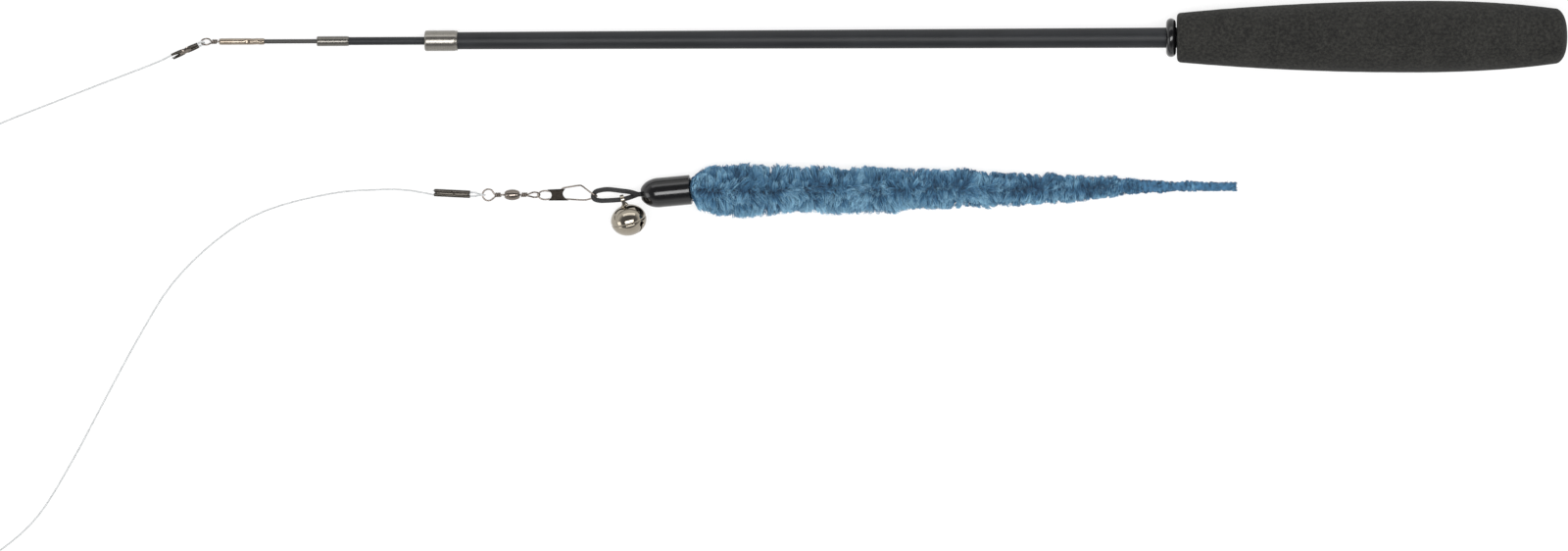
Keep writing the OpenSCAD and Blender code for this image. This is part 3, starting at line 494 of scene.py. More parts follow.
tipLoop = loopEnd(line["tipLink"], line["tipWay"], line["tipSide"], 0, line["tipLoop"], 3)
lureWay = Vector(line["lureWay"])
lureSide = (Vector((0, 0, 1)) - lureWay.z * lureWay).normalized()
lureLoop = loopEnd(line["lureLink"], lureWay, lureSide, 90, line["lureLoop"], 6)
coil = coilRoute(line["coil"])
tipWay = Vector(line["tipWay"])
upper = [tipLoop[-1] + tipWay * line["tipSleeve"], tipLoop[-1] + tipWay * (line["tipSleeve"] + 0.5),
         *line["upper"], coil[0] + Vector((0, 1, 0))]
lower = [coil[-1] - Vector((0, 1, 0)), *line["lower"],
         lureLoop[0] + lureWay * (line["lureSleeve"] + 0.5), lureLoop[0] + lureWay * line["lureSleeve"]]
route = ([tipLoop[0] + tipWay * (line["tipSleeve"] + line["tail"])] + tipLoop
         + overTable(smoothRoute(upper, 4)) + [coil[0] + Vector((0, 0.5, 0))] + coil
         + [coil[-1] - Vector((0, 0.5, 0))] + overTable(smoothRoute(lower, 4)) + lureLoop
         + [lureLoop[-1] + lureWay * (line["lureSleeve"] + line["tail"])])
lineLength = sum((b - a).length for a, b in zip(route, route[1:]))

lineCurve = bpy.data.curves.new("nylonLine", "CURVE")
lineCurve.dimensions = "3D"
lineCurve.bevel_depth = line["r"] * mm
lineCurve.bevel_resolution = 3
lineCurve.use_fill_caps = True
spline = lineCurve.splines.new("POLY")
spline.points.add(len(route) - 1)
for point, p in zip(spline.points, route):
    point.co = (*(p * mm), 1)
spline.use_smooth = True
nylonLine = newObject("nylonLine", lineCurve)
dress(nylonLine, nylon, "nylon", "line", "line_upper", "line_coil", "line_lower")
print("line laid: %.3f m" % (lineLength * mm))


# Foam grip: barrel shape with a soft front edge and a rounded rear

gripShape = {"front": 214.9, "long": 111.0, "frontR": 7.0, "bellyR": 10.2, "rearR": 7.4, "belly": 0.614,
             "flat": 1.6, "round": 3.4, "edge": 1.2, "bore": 2.92, "wave": 0.035, "wavesPerMm": 0.35}


def gripRadius(u):
    g = gripShape
    if u < g["belly"]:
        return g["bellyR"] - (g["bellyR"] - g["frontR"]) * (1 - u / g["belly"]) ** 2
    return g["bellyR"] - (g["bellyR"] - g["rearR"]) * ((u - g["belly"]) / (1 - g["belly"])) ** 2.3


def gripOutline():
    g = gripShape
    x0, x1, e = g["front"], g["front"] + g["long"], g["edge"]
    first, last = e / g["long"], 1 - g["round"] / g["long"]
    lip = gripRadius(first)
    made = [(x0 + 3, g["bore"]), (x0, g["bore"]), (x0, lip - e)]
    made += arc(x0 + e, lip - e, e, e, 15, 75, 4)
    made += [(x0 + u * g["long"], gripRadius(u)) for u in (mix(first, last, i / 150) for i in range(151))]
    rim = gripRadius(last)
    made += arc(x1 - g["round"], g["flat"], g["round"], rim - g["flat"], 97.5, 180, 11)
    return made + [(x1, 0.001)]


def foamSkin(x, a, r):  # the slight waviness of moulded foam, but not in the bore
    if r < 4:
        return 0
    return gripShape["wave"] * noise.noise(turnedPoint(x, a, r) * gripShape["wavesPerMm"])


foamGrip = revolve("foamGrip", gripOutline(), 128, onWand, foamSkin)
dress(foamGrip, foam, "foam", "handle", "grip")
print("grip made")


# Elastic loop: out of the cap, round the snap's crown and back, with the bell on its lower strand

toy = {"crownX": 23.155, "loopLong": 13.4, "loopWide": 3.2, "cordR": 0.675, "gap": 0.02, "noseZ": 2.76,
       "knotX": 4.5, "arch": 3.8, "capLong": 14.7, "capR": 4.25, "capNose": 5.5, "capWall": 0.8,
       "capHole": 1.55, "capTurn": 5.0, "capPitch": 4.7}
noseAt = Vector((toy["crownX"] + toy["loopLong"], 0, toy["noseZ"]))
capTurned = turned(toy["capTurn"], "Z") @ turned(-toy["capPitch"], "Y")
onCap = onLure @ Matrix.Translation(noseAt) @ capTurned
capWay, capUp = capTurned @ Vector((1, 0, 0)), capTurned @ Vector((0, 0, 1))
upperShares = [(0.96, 0.05), (0.8, 0.25), (0.61, 0.36), (0.32, 0.5), (0.12, 0.4), (0.04, 0.24)]
lowerShares = [(0, -0.09), (0.03, -0.35), (0.12, -0.48), (0.26, -0.5), (0.6, -0.42), (0.79, -0.22),
               (0.96, 0.05)]


def strandPoint(share, side):  # the two strands arch over the table and lie on each other at the cap
    u, v = share
    z = (toy["noseZ"] * u ** 1.1 + toy["arch"] * math.sin(math.pi * u ** 1.35) ** 2
         + side * (toy["cordR"] + toy["gap"]) * ease((u - 0.62) / 0.33))
    return Vector((toy["crownX"] + u * toy["loopLong"], (v - 0.05) * toy["loopWide"], z))


def elasticRoute():
    lift = (toy["cordR"] + toy["gap"]) * capUp
    inside = [noseAt + s * toy["knotX"] * capWay for s in (0.8, 0.48, 0.24, 0.06)]
    loop = [strandPoint(s, 1) for s in upperShares] + [strandPoint(s, -1) for s in lowerShares]
    return [p + lift for p in inside] + smoothRoute(loop, 10) + [p - lift for p in reversed(inside)]


elastic = sweep("elasticLoop", elasticRoute(), toy["cordR"], 24, onLure)
dress(elastic, braid, "elastic", "toy", "elastic_loop")
print("elastic made")


# Plush tail: a body painted dark as shade under the pile, and locks of flat fibres that stand out from it

tail = {  # lumps are shares of the radius and waves per mm; fibre values go from painted shade at a fibre's root to painted highlight at its end
    "long": 156.0, "full": 7.6, "rest": 0.05, "locks": 3040, "fibres": 15, "fibreW": 0.12, "body": 0.66,
    "fold": 38, "lumps": ((0.2, 0.22), (0.1, 0.55)), "ridge": 0.13, "ridgeStep": 1.4, "ridgesFrom": 95,
    "drift": 0.17, "tonesWithPaintedLight": (0.02, 0.26, 0.6, 0.9)}
mouthAt = noseAt + toy["capLong"] * capWay
tailFloor = tail["rest"] - lurePlace["at"][2]
tailShares = [(0.027, 0.86, 0), (0.06, 0.97, -0.04), (0.095, 1, -0.07), (0.152, 0.94, -0.08),
              (0.18, 0.88, -0.03), (0.23, 0.87, -0.04), (0.285, 0.88, -0.06), (0.35, 0.86, -0.06),
              (0.435, 0.755, 0), (0.53, 0.68, 0), (0.585, 0.62, -0.02), (0.63, 0.59, -0.01),
              (0.7, 0.51, -0.03), (0.74, 0.44, 0.02), (0.79, 0.345, 0.05), (0.87, 0.215, 0.055),
              (0.94, 0.18, 0.055), (1, 0.17, 0.055)]
tailKnots = [(mouthAt + 0.02 * capWay, 3.35), (mouthAt + 0.48 * capWay, 4.1), (mouthAt + 1.6 * capWay, 5.24)]
tailKnots += [(Vector((mouthAt.x + s * tail["long"], mouthAt.y + y * tail["full"],
                       r * tail["full"] + tailFloor)), r * tail["full"]) for s, r, y in tailShares]
tailPoints = smoothRoute([p for p, r in tailKnots], 24)
tailRadii = [q.x for q in smoothRoute([(r, 0, 0) for p, r in tailKnots], 24)]
tailRun = [0.0]
for a, b in zip(tailPoints, tailPoints[1:]):
    tailRun.append(tailRun[-1] + (b - a).length)
tailWays = sideways(tailPoints)


def thinness(r):  # 0 at the tail's thin end, 1 where the pile is long
    return ease((r - 1.2) / 2.5)


def tailAt(s):  # centre, radius, tangent, side and up at a distance along the tail
    i = min(max(bisect.bisect_right(tailRun, s) - 1, 0), len(tailRun) - 2)
    u = (s - tailRun[i]) / (tailRun[i + 1] - tailRun[i])
    t = tailWays[i][0]
    side = t.cross(Vector((0, 0, 1))).normalized()
    c, r = mix(tailPoints[i], tailPoints[i + 1], u), mix(tailRadii[i], tailRadii[i + 1], u)
    return c, r, t, side, side.cross(t)


def lump(s, a, r):  # how full the pile is here, about 1
    ridge = tail["ridge"] * math.sin(2 * math.pi * s / tail["ridgeStep"] + a)
    bulk = [share * noise.noise(turnedPoint(s, a, r) * perMm) for share, perMm in tail["lumps"]]
    return 1 + sum(bulk) + ridge * ease((s - tail["ridgesFrom"]) / 30)


def tailBody():
    verts, tonesWithPaintedLight = [], []
    sides, rings = 56, 560
    for i in range(rings + 1):
        s = tailRun[-1] * i / rings
        c, r, t, side, up = tailAt(s)
        thin = thinness(r)
        share = mix(0.9, tail["body"], thin) * (1 if i < rings else 0.75)
        for k in range(sides):
            a = 2 * math.pi * k / sides
            q = r * share * lump(s, a, r)
            p = c + q * (math.cos(a) * side + math.sin(a) * up)
            p.z = max(p.z, tailFloor + 0.02)
            verts.append(onLure @ p)
            # darker where the pile is long, as painted shade under the fibres, with random patches
            tonesWithPaintedLight.append(mix(0.4, 0.1, thin) + 0.25 * noise.noise(turnedPoint(s, a, r)))
    return verts, ringFaces(rings + 1, sides) + endFaces(rings + 1, sides), tonesWithPaintedLight, None


def fibre(root, bend, end, width, cell, perRow):  # a tapered blade, and its own cell of the texture
    way = (end - root).normalized()
    across = way.cross(Vector([random.gauss(0, 1) for i in range(3)])).normalized() * width
    low, high = mix(root, end, 0.4) + bend * 0.7, mix(root, end, 0.75) + bend
    u, v = (cell % perRow) / perRow, (cell // perRow) / perRow
    w = 0.8 / perRow
    points = (root - across, root + across, low - across, low + across, high - across * 0.7,
              high + across * 0.7, end)
    spots = [(u, v), (u + w, v), (u, v + 0.4 * w), (u + w, v + 0.4 * w), (u, v + 0.75 * w),
             (u + w, v + 0.75 * w), (u + w / 2, v + w)]
    return points, spots


def tailPile():
    verts, faces, tonesWithPaintedLight, uvs = [], [], [], []
    made, wanted = 0, tail["locks"] * tail["fibres"]
    perRow = math.ceil(math.sqrt(wanted))
    while made < wanted:
        s = random.uniform(0.05, tailRun[-1])
        c, r, t, side, up = tailAt(s)
        if random.random() > r / tail["full"] + 0.1:
            continue
        a = random.uniform(0, 2 * math.pi)
        thin = thinness(r)
        out = math.cos(a) * side + math.sin(a) * up
        around = -math.sin(a) * side + math.cos(a) * up
        drift = noise.noise_vector(turnedPoint(s, a, r) * tail["drift"])  # neighbours lean the same way
        toCrest = math.copysign(1, math.cos(a) + random.gauss(0, 0.12))  # the pile parts along the top
        fold = toCrest * math.radians(random.gauss(tail["fold"], 9)) * ease(abs(math.cos(a)) / 0.55) * thin
        rootWay = math.cos(a + fold) * side + math.sin(a + fold) * up
        full = r * lump(s, a, r) * random.uniform(0.93, 1.04)
        rootShare = mix(0.84, 0.6, thin)
        length = mix(full - rootShare * r, 0.62 * r, thin)
        lean = (drift.x * 1.7 + random.gauss(0.1, 0.22)) * thin
        lean = mix(abs(lean) + 0.45, lean, ease(s / 7))  # away from the cap
        twist = drift.y * 0.8 * thin + random.gauss(0, 0.12)
        tip = c + out * full + (t * lean + around * twist) * length * 0.7
        # the out.y term makes the front (-y) edge much paler and the back edge a little paler: painted light
        # from the front
        shade = (random.uniform(-0.17, 0.17) + 0.5 * drift.z - 0.07 - 0.13 * ease((s - 60) / 60)
                 - 0.12 * ease((s - 105) / 25) + (0.36 if out.y < 0 else 0.06) * out.y ** 2)
        spread = mix(0.3, 0.5, thin)
        for f in range(tail["fibres"]):
            offset = t * random.gauss(0, spread) + around * random.gauss(0, spread)
            root = c + rootWay * rootShare * r + offset
            end = tip + offset * 0.5 + out * random.uniform(-0.12, 0.03) * length
            bend = (t * random.gauss(0, 0.06) + around * random.gauss(0, 0.06)
                    + (out + rootWay) * mix(0.04, 0.09, thin)) * length
            points, spots = fibre(root, bend, end, tail["fibreW"] * random.uniform(0.7, 1.2), made, perRow)
            made += 1
            first = len(verts)
            for p in points:
                p += max(0.1 - (p - mouthAt).dot(capWay), 0) * capWay  # never over the cap
                p.z = max(p.z, tailFloor)
                verts.append(onLure @ p)
            uvs += spots
            own = shade + random.uniform(-0.16, 0.16)
            # painted shade at the two root points, rising to painted highlight at the fibre's end
            dark, low, high, pale = tail["tonesWithPaintedLight"]
            tonesWithPaintedLight += [dark, dark, low + own, low + own, high + own, high + own, pale + own]
            faces += [(first, first + 1, first + 3, first + 2), (first + 2, first + 3, first + 5, first + 4),
                      (first + 4, first + 5, first + 6)]
    return verts, faces, tonesWithPaintedLight, uvs


for pieceName, (verts, faces, tonesWithPaintedLight, uvs) in (("tailBody", tailBody()), ("tailPile", tailPile())):
    piece = meshPiece(pieceName, verts, faces, uvs, "OFBake")
    piece.data.attributes.new("tone", "FLOAT", "POINT").data.foreach_set("value", tonesWithPaintedLight)
    dress(piece, plush, "plush", "toy", "tail_plush")
    print(pieceName, len(piece.data.polygons), "faces")


# Smooth wire, sleeves, ferrules, cap and bell, in place of the part's plainer ones

wireR = {"eye": 0.235, "snap": 0.225}
eyes = {  # lengths of free shank, wraps and ring, the ring's width, and the wall before the head
    "front": {"bare": 0.55, "wraps": 2.1, "long": 3.85, "wide": 3.75, "wall": 0.5},
    "rear": {"bare": 0.1, "wraps": 1.9, "long": 3.9, "wide": 3.3, "wall": 0.5},
    "tip": {"bare": 0, "wraps": 2.1, "long": 3.3, "wide": 3.3, "wall": 0.7},
}
swivel = {"half": 2.2, "mouth": 0.564, "bore": 0.3, "full": 1.55, "groove": 0.07, "grooveWide": 0.1,
          "grooves": (1.25, -1.25), "rearRoll": 60}
tipTubeShape = {"front": -58.9, "rear": -46.0, "full": 0.91, "bore": 0.3, "rodBore": 0.635, "eyeRoll": -50,
                "presses": ((0.62, 100, 0.3), (0.7, 250, 0.28), (0.74, 40, 0.26), (0.83, 140, 0.3),
                            (0.9, 300, 0.24), (0.9, 70, 0.2)), "deepest": 0.24}


def eyeParts(bare, wraps, long, wide, wall):  # a ring on a wrapped shank along x
    r = wireR["eye"]
    ring = wide / 2 - r
    root = bare + wraps
    ringX = root + long - r - ring
    wrapR, pitch = 2 * r + 0.02, 2 * r + 0.04
    turns = int(wraps / pitch - 0.5)
    loop = [(root - r, 0, 0), (root + r / 2, r / 3, 0)]
    loop += [polar(ring, a) + Vector((ringX, 0, 0)) for a in range(130, -131, -10)]
    loop += [turnedPoint(root - pitch * a / 360, math.radians(a), -wrapR)
             for a in range(0, 360 * turns + 1, 20)]
    path = smoothRoute(loop, 2)
    radii = [r * 0.98] * (len(path) - 2) + [r * 0.8, r * 0.4]
    head = [(-wall - 0.66, 0.01), (-wall - 0.66, 1.7 * r), (-wall - 0.56, 2 * r), (-wall - 0.06, 2 * r),
            (-wall - 0.06, 0.01)]
    return [sweepParts(path, radii, 14), sweepParts([(-wall - 0.5, 0, 0), (root, 0, 0)], r, 14),
            turnedPart(head, 24)]


def alongX(x, roll=0):
    return Matrix.Translation((x, 0, 0)) @ turned(roll, "X")


mirrorX = Matrix.Scale(-1, 4, (1, 0, 0))
dress(joined("frontEye", eyeParts(**eyes["front"]), onLure @ alongX(-swivel["half"]) @ mirrorX),
      nickel, "wire", "front_eye", "swivel_front_eye")
dress(joined("rearEye", eyeParts(**eyes["rear"]), onLure @ alongX(swivel["half"], swivel["rearRoll"])),
      nickel, "wire", "rear_eye", "swivel_rear_eye")
dress(joined("tipEye", eyeParts(**eyes["tip"]),
             onWand @ alongX(tipTubeShape["front"]) @ mirrorX @ alongX(0, tipTubeShape["eyeRoll"])),
      nickel, "wire", "tip_eye", "tip_eye")


def barrelOutline():
    half, mouth, bore = swivel["half"], swivel["mouth"], swivel["bore"]
    made = [(0.4 - half, bore), (0.05 - half, bore), (-half, bore + 0.05), (-half, mouth - 0.05)]
    for a in range(-86, 87, 4):
        x, r = half * math.sin(math.radians(a)), mix(mouth, swivel["full"], math.cos(math.radians(a)))
        groove = sum(math.exp(-((x - at) / swivel["grooveWide"]) ** 2) for at in swivel["grooves"])
        made.append((x, r - swivel["groove"] * groove))
    return made + [(half, mouth - 0.05), (half, bore + 0.05), (half - 0.05, bore), (half - 0.4, bore)]


dress(joined("barrel", [turnedPart(barrelOutline(), 72)], onLure), nickel, "wire", "barrel", "swivel_barrel")
print("swivel made")


# Snap: one wire from its small loop round to the crown, and the latch arm back to the plate

snap = {"x": 7.305, "long": 16.9, "loopWide": 2.6, "reach": 1.05, "mid": -0.16, "half": 0.2}
fixedShares = [(0.3, 0.386, 0), (0.24, 0.386, 0), (0.18, 0.392, 0), (0.125, 0.432, 0), (0.065, 0.366, 0),
               (0.018, 0.17, 0), (0, -0.046, 0), (0.018, -0.262, 0), (0.065, -0.464, 0), (0.125, -0.53, 0),
               (0.18, -0.49, 0), (0.24, -0.484, 0), (0.45, -0.484, 0), (0.54, -0.51, -0.05),
               (0.66, -0.562, -0.6), (0.8, -0.59, -0.95), (0.88, -0.48, -1)]
latchShares = [(0.9, 0.209, 1), (0.82, 0.602, 0.9), (0.765, 0.889, 0.75), (0.722, 1.007, 0.6),
               (0.66, 0.974, 0.4), (0.55, 0.863, 0.1), (0.45, 0.758, 0), (0.42, 0.68, 0), (0.405, 0.549, 0),
               (0.4, 0.471, 0)]


def snapPoint(share):
    along, across, up = share
    return Vector((snap["x"] + along * snap["long"], across * snap["loopWide"], up * snap["reach"]))


def crownPoint(a):  # the bend that the elastic loop hangs on
    side = snap["loopWide"] * (snap["mid"] + snap["half"] * a / 90)
    p = polar(snap["reach"], a)
    return Vector((toy["crownX"] + p.x, side, p.y))


fixedWire = smoothRoute([snapPoint(p) for p in fixedShares], 5) + [crownPoint(a) for a in range(-90, 1, 6)]
latchWire = [crownPoint(a) for a in range(16, 91, 6)] + smoothRoute([snapPoint(p) for p in latchShares], 5)
fixedRadii = [wireR["snap"] * k for k in [1] * (len(fixedWire) - 1) + [0.9, 0.5]]
latchRadii = [wireR["snap"] * k for k in [0.6, 0.9] + [1] * (len(latchWire) - 2)]
dress(sweep("snapWire", fixedWire + [crownPoint(3)], fixedRadii, 14, onLure),
      nickel, "wire", "snap", "snap_wire")
dress(sweep("latchArm", latchWire, latchRadii, 14, onLure), nickel, "wire", "latch", "snap_latch_arm")

plate = {"at": 0.163, "long": 5.1, "wide": 3.4, "sheet": 0.2, "thick": 0.97, "fold": 0.4,
         "left": (0.24, -0.03, -0.18, 0.46), "right": (0.87, -0.09, 0.23, 0.5)}


def plateEdge(side, v):  # where a concave side is, from v = 0 in the middle
    middle, slope, bow, half = plate[side]
    return middle + slope * (v / half) + bow * (v / half) ** 2


def plateParts():  # folded sheet: an oblong ring of two skins, open at its two concave sides
    wide, thick, fold = plate["wide"], plate["thick"], plate["fold"]
    x0 = snap["x"] + plate["at"] * snap["long"]
    columns, ring = 16, []
    corners = ((1, 1, 0), (-1, 1, 90), (-1, -1, 180), (1, -1, 270))
    for sy, sz, a0 in corners:
        for step in range(7):
            a = math.radians(a0 + 15 * step)
            ring.append((sy * (wide / 2 - fold), sz * (thick / 2 - fold), math.cos(a), math.sin(a)))
        if a0 in (0, 180):
            for step in range(1, 8):
                ring.append((sy * (wide / 2 - fold) * (1 - step / 4), sz * (thick / 2 - fold), 0, sz))
    verts, faces = [], []
    for skin in (fold, fold - plate["sheet"]):
        for y0, z0, cy, cz in ring:
            y, z = y0 + skin * cy, z0 + skin * cz
            v = y / wide
            for j in range(columns + 1):
                xs = mix(plateEdge("left", v), plateEdge("right", v), j / columns)
                top = (0.865 + 0.11 * xs) if v > 0 else 0.99
                verts.append((x0 + xs * plate["long"], y * top, z))
    n, w = len(ring), columns + 1
    for k in range(n):
        m = (k + 1) % n
        for j in range(columns):
            faces.append((k * w + j, k * w + j + 1, m * w + j + 1, m * w + j))
            faces.append(((n + k) * w + j, (n + m) * w + j, (n + m) * w + j + 1, (n + k) * w + j + 1))
        faces.append((k * w, m * w, (n + m) * w, (n + k) * w))
        faces.append((k * w + columns, (n + k) * w + columns, (n + m) * w + columns, m * w + columns))
    return verts, faces


dress(joined("snapPlate", [plateParts()], onLure), plateMetal, "dark_metal", "snap", "snap_plate")
print("snap made")


# Crimp sleeves, two barrels side by side each: the tip's is pinched to a bow, the swivel's has two folds

def alongWay(at, way, side):
    up = way.cross(side)
    return Matrix(((way.x, side.x, up.x, at.x), (way.y, side.y, up.y, at.y), (way.z, side.z, up.z, at.z),
                   (0, 0, 0, 1)))


def sleeveBarrels(length, apart, radius):  # two bars with soft ends
    made = []
    for sign in (-1, 1):
        path = [Vector((i / 60 * length, sign * apart(i / 60), 0)) for i in range(61)]
        soft = Vector((0.015, 0, 0))
        path = [path[0], path[0] + soft] + path[1:-1] + [path[-1] - soft, path[-1]]
        radii = [0.3, 0.46] + [radius(i / 60) for i in range(1, 60)] + [0.46, 0.3]
        made.append(sweepParts(path, radii, 20))
    return made


def bowPart(length):  # six-sided sections, by their place, half width and half height
    stations = [(0.28, 0.85, 0.46), (0.41, 1.16, 0.36), (0.48, 0.9, 0.5), (0.52, 0.9, 0.5), (0.6, 1.16, 0.36),
                (0.71, 0.85, 0.46)]
    corners = ((1, 0), (0.55, 1), (-0.55, 1), (-1, 0), (-0.55, -1), (0.55, -1))
    verts = [(u * length, y * w, z * h) for u, w, h in stations for y, z in corners]
    ends = [tuple(reversed(f)) for f in endFaces(len(stations), 6)]
    return verts, ringFacesBack(len(stations), 6) + ends


def tipApart(u):  # wider to the line's end
    return mix(0.43, 0.57, ease(u * 2.2)) + 0.13 * ease((u - 0.68) * 3.3)


def tipThick(u):  # pinched flat in the middle, with two thin prongs at the line's end
    return 0.5 - 0.22 * math.exp(-((u - 0.5) / 0.13) ** 2) - 0.15 * ease((u - 0.68) * 3.3)


tipSleevePlace = alongWay(Vector(line["tipLink"]) + tipWay * line["tipLoop"], tipWay, Vector(line["tipSide"]))
dress(joined("tipSleeve", sleeveBarrels(line["tipSleeve"], tipApart, tipThick), tipSleevePlace),
      darkMetal, "dark_metal", "line", "tip_sleeve")
# the bow takes the brighter nickel, unlike the dark barrels of the same sleeve: a painted highlight on the
# pinched facets
tipBow = joined("tipSleeveBow", [bowPart(line["tipSleeve"])], tipSleevePlace)
tipBow.data.shade_flat()
dress(tipBow, nickel, "dark_metal", "line", "tip_sleeve")


def twistRidge(length, start):  # a raised fold that winds half round the sleeve
    path, radii = [], []
    for i in range(41):
        u = i / 40
        a = math.radians(start + 200 * ease(u))
        path.append(Vector((mix(0.2, 0.68, u) * length, 0.92 * math.cos(a), 0.44 * math.sin(a))))
        radii.append(mix(0.06, 0.2, math.sin(math.pi * u)))
    return sweepParts(path, radii, 10)


def ovalPart(length):  # fills the groove between the two barrels
    path = [Vector((mix(0.03, 0.97, i / 20) * length, 0, 0)) for i in range(21)]
    verts, faces = sweepParts(path, 0.5, 24)[:2]
    return [(v.x, v.y * 1.8, v.z * mix(0.6, 0.86, math.sin(math.pi * v.x / length))) for v in verts], faces


lureSleevePlace = alongWay(Vector(line["lureLink"]) + lureWay * line["lureLoop"], lureWay,
                           lureWay.cross(lureSide))
lureBarrels = sleeveBarrels(line["lureSleeve"], lambda u: 0.57, lambda u: 0.5)
lureTwists = [twistRidge(line["lureSleeve"], start) for start in (-20, 160)]
dress(joined("lureSleeve", [*lureBarrels, *lureTwists, ovalPart(line["lureSleeve"])], lureSleevePlace),
      darkMetal, "dark_metal", "line", "lure_sleeve")
print("sleeves made")


# Wand's metal: the tip tube with its dimpled crimp, two ferrules, and the collar

def tipTubeOutline():
    x0, x1, full, bore = (tipTubeShape[key] for key in ("front", "rear", "full", "bore"))
    made = [(x0 + 0.5, bore), (x0, bore), (x0, 0.72), (x0 + 0.12, 0.82), (x0 + 0.35, full)]
    made += [(mix(x0 + 0.5, x1 - 0.3, i / 90), full) for i in range(91)]
    rodBore = tipTubeShape["rodBore"]
    return made + [(x1 - 0.1, full - 0.03), (x1, full - 0.1), (x1, rodBore), (x1 - 0.6, rodBore)]


def crimpPress(x, a, r):  # the pliers' marks, by share of the length, angle and depth
    if r < 0.7:
        return 0
    u = (x - tipTubeShape["front"]) / (tipTubeShape["rear"] - tipTubeShape["front"])
    press = 0
    for at, turn, deep in tipTubeShape["presses"]:
        away = a - math.radians(turn)
        away = math.degrees(math.atan2(math.sin(away), math.cos(away)))
        press += deep * math.exp(-((u - at) / 0.045) ** 2 - (away / 38) ** 2)
    return -min(press, tipTubeShape["deepest"])


tipTube = revolve("tipTube", tipTubeOutline(), 64, onWand, crimpPress)
dress(tipTube, tipNickel, "dark_metal", "tip_section", "tip_crimp")

largeFerrule = {"front": 0.0, "rear": 9.4, "full": 2.95, "nose": 0.55, "edge": 0.25, "bore": 1.2,
                "rearBore": 2.5}
smallFerrule = {"front": -30.9, "rear": -21.8, "full": 1.39, "nose": 0.25, "edge": 0.12, "bore": 0.68,
                "rearBore": 1.16}


def ferrulePart(shape):  # a rounded nose, and a rolled edge with a groove before it
    x0, x1, full, nose, edge = (shape[key] for key in ("front", "rear", "full", "nose", "edge"))
    bore, rearBore = shape["bore"], shape["rearBore"]
    rolled = ((2.4, 0.5), (1.8, 0.5), (1.2, 0.1), (0.4, 0.2), (0, 1))
    made = [(x0 + 1.0, bore), (x0, bore), (x0, full - nose)]
    made += arc(x0 + nose, full - nose, nose, nose, 15, 90, 5)
    made += [(mix(x0 + nose, x1 - 3 * edge, i / 12), full) for i in range(1, 13)]
    made += [(x1 - x * edge, full - r * edge) for x, r in rolled]
    return turnedPart(made + [(x1, rearBore), (x1 - 1.0, rearBore)], 96)


dress(joined("largeFerrule", [ferrulePart(largeFerrule)], onWand), ferruleMetal, "ferrule_metal", "handle",
      "large_ferrule")
dress(joined("smallFerrule", [ferrulePart(smallFerrule)], onWand), smallFerruleMetal, "ferrule_metal",
      "mid_section", "small_ferrule")

collar = {"front": 211.8, "r": 1.4, "ringR": 4.15, "bore": 2.93}


def collarPart():
    x0, r, bore = collar["front"], collar["r"], collar["bore"]
    made = [(x0 + 0.4, bore), (x0, bore), *arc(x0 + r, collar["ringR"], r, r, 0, 180, 24)]
    return turnedPart(made + [(x0 + 2 * r, bore), (x0 + 2 * r - 0.4, bore)], 96)


dress(joined("collar", [collarPart()], onWand), glossBlack, "black_gloss", "handle", "grip_collar")
print("wand's rings made")


# Cap and bell

def capOutline():
    full, nose, long, wall, hole = (toy[key] for key in ("capR", "capNose", "capLong", "capWall", "capHole"))
    first = math.degrees(math.asin((hole + 0.15) / full))
    made = [(2.0, hole), (0.6, hole), (0.5, hole + 0.06), *arc(nose, 0, nose, full, first, 90, 30)]
    made += [(mix(nose, long - 0.3, i / 10), full) for i in range(1, 11)]
    made += [(long - 0.1, full - 0.06), (long, full - 0.25)]
    return made + [(long, full - wall), (long - 4, full - wall)]


dress(joined("cap", [turnedPart(capOutline(), 128)], onCap), glossBlack, "black_gloss", "toy", "tail_cap")

bell = {"at": (33.355, -7.3371, 3.6), "turn": 16, "dip": -16.4023, "r": 5.15, "half": 4.4, "wall": 0.35,
        "rim": 0.15, "rimWide": 0.26, "seam": 0.02, "slotW": 0.8, "holeR": 0.85, "slotTurn": -47, "fall": 13,
        "hang": 6.395, "strapIn": 1.005, "strapT": 0.35, "strapW": 1.1, "twist": 2.94, "legTurn": 48}
onBell = onLure @ Matrix.Translation(bell["at"]) @ turned(bell["turn"], "Z") @ turned(-90 - bell["dip"], "X")


def cutDistance(v):  # from the slot and its two round ends, negative inside
    spot = turned(-bell["slotTurn"], "Z", 3) @ v
    fall = math.radians(bell["fall"])
    made = max(abs(spot.y) - bell["slotW"] / 2, v.z + bell["half"] * math.sin(fall))
    for sign in (-1, 1):
        way = Vector((sign * math.cos(fall), 0, -math.sin(fall)))
        along = spot.dot(way)
        made = min(made, (spot - way * along).length - bell["holeR"] if along > 0 else 9)
    return made


def onCut(v):  # slides a point along the shell to the edge of the cut
    step = 0.01
    for go in range(5):
        d = cutDistance(v)
        slope = Vector([(cutDistance(v + step * axis) - d) / step for axis in Matrix.Identity(3)])
        way = Vector((v.x / bell["r"] ** 2, v.y / bell["r"] ** 2, v.z / bell["half"] ** 2)).normalized()
        slope -= slope.dot(way) * way
        if slope.length > 0.2:
            v = v - slope * d / slope.length_squared
    return v


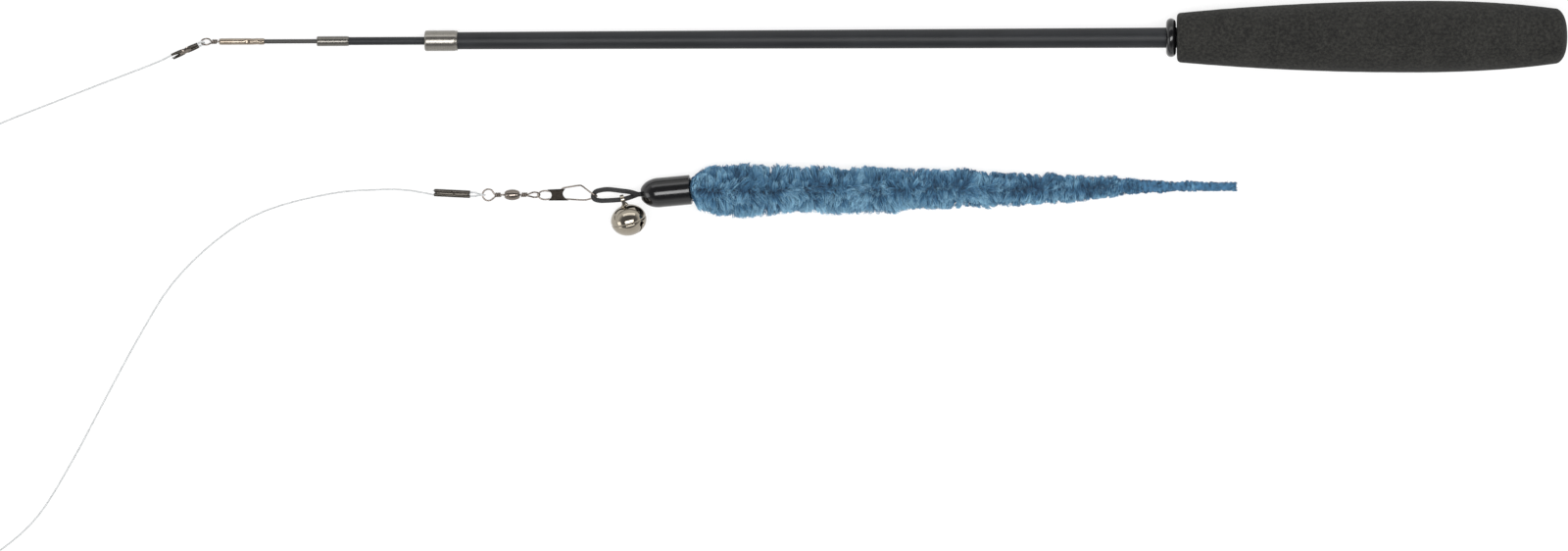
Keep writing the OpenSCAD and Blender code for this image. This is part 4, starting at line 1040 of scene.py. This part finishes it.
def shellParts(sign):  # the upper or lower half, from the seam to the pole
    around, up = 200, 72
    verts = []
    for i in range(up + 1):
        a = math.radians(90 * i / up)
        reach = bell["r"] * math.cos(a) - bell["rim"] * math.exp(-((a * bell["r"]) / bell["rimWide"]) ** 2)
        height = sign * (bell["half"] * math.sin(a) + bell["seam"])
        verts += [polar(reach, 360 * k / around, height) for k in range(around)]
    cut = [sign < 0 and cutDistance(v) <= 0 for v in verts]
    for i in range(1, up):
        for k in range(around):
            near = [(i + row) * around + (k + go) % around for row in (-1, 0, 1) for go in (-1, 0, 1)]
            if not cut[i * around + k] and any(cut[j] for j in near):
                verts[i * around + k] = onCut(verts[i * around + k])
    faces = ringFaces(up + 1, around) if sign > 0 else ringFacesBack(up + 1, around)
    return verts, [face for face in faces if not any(cut[j] for j in face)]


for name, sign, node in (("bellTop", 1, "bell_top_shell"), ("bellBottom", -1, "bell_bottom_shell")):
    shell = joined(name, [shellParts(sign)], onBell)
    shell.modifiers.new("wall", "SOLIDIFY").thickness = bell["wall"] * mm
    dress(shell, bellMetal, "bell_metal", "bell", node)


def strapPart():  # a flat strap round the cord, its legs turned apart where they enter the shell
    reach = bell["strapIn"] + bell["strapT"] / 2
    heights = (4.0, 4.3, 4.6, 4.95, 5.3, 5.65, 6.0)
    path = [(-reach, z) for z in heights] + arc(0, bell["hang"], reach, reach, 0, 180, 18)
    path += [(reach, z) for z in reversed(heights)]
    verts = []
    w, t = bell["strapW"] / 2, bell["strapT"] / 2
    for i, (y, z) in enumerate(path):
        ahead, behind = path[min(i + 1, len(path) - 1)], path[max(i - 1, 0)]
        way = Vector((0, ahead[0] - behind[0], ahead[1] - behind[1])).normalized()
        low = ease((5.45 - z) / 1.2)
        turn = turned(bell["twist"] - bell["legTurn"] * low, "Z", 3)
        out = Vector((0, way.z, -way.y))
        for a in range(0, 360, 30):
            c, q = polar(1, a).xy
            wide, thick = w * math.copysign(abs(c) ** 0.6, c), t * math.copysign(abs(q) ** 0.6, q)
            verts.append(turn @ (Vector((wide, y * (1 - 0.12 * low), z)) + out * thick))
    return verts, ringFacesBack(len(path), 12)


dress(joined("strap", [strapPart()], onBell), bellMetal, "bell_metal", "bell", "bell_shank")
print("cap and bell made")


# The other rigid pieces keep their CAD shape and get their finish

finishes = {
    satin: ("main_tube", "mid_tube", "tube_end_plug", "mid_tube_stop", "tip_rod_stop"),
    rodSatin: ("tip_rod",),
    nickel: ("tail_core", "bell_clapper"),
}
for material, names in finishes.items():
    for nodeName in names:
        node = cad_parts[nodeName]
        if not node.material_slots:
            node.data.materials.append(material)
        for slot in node.material_slots:
            slot.material = material
print("finishes set on", sum(len(n) for n in finishes.values()), "nodes")
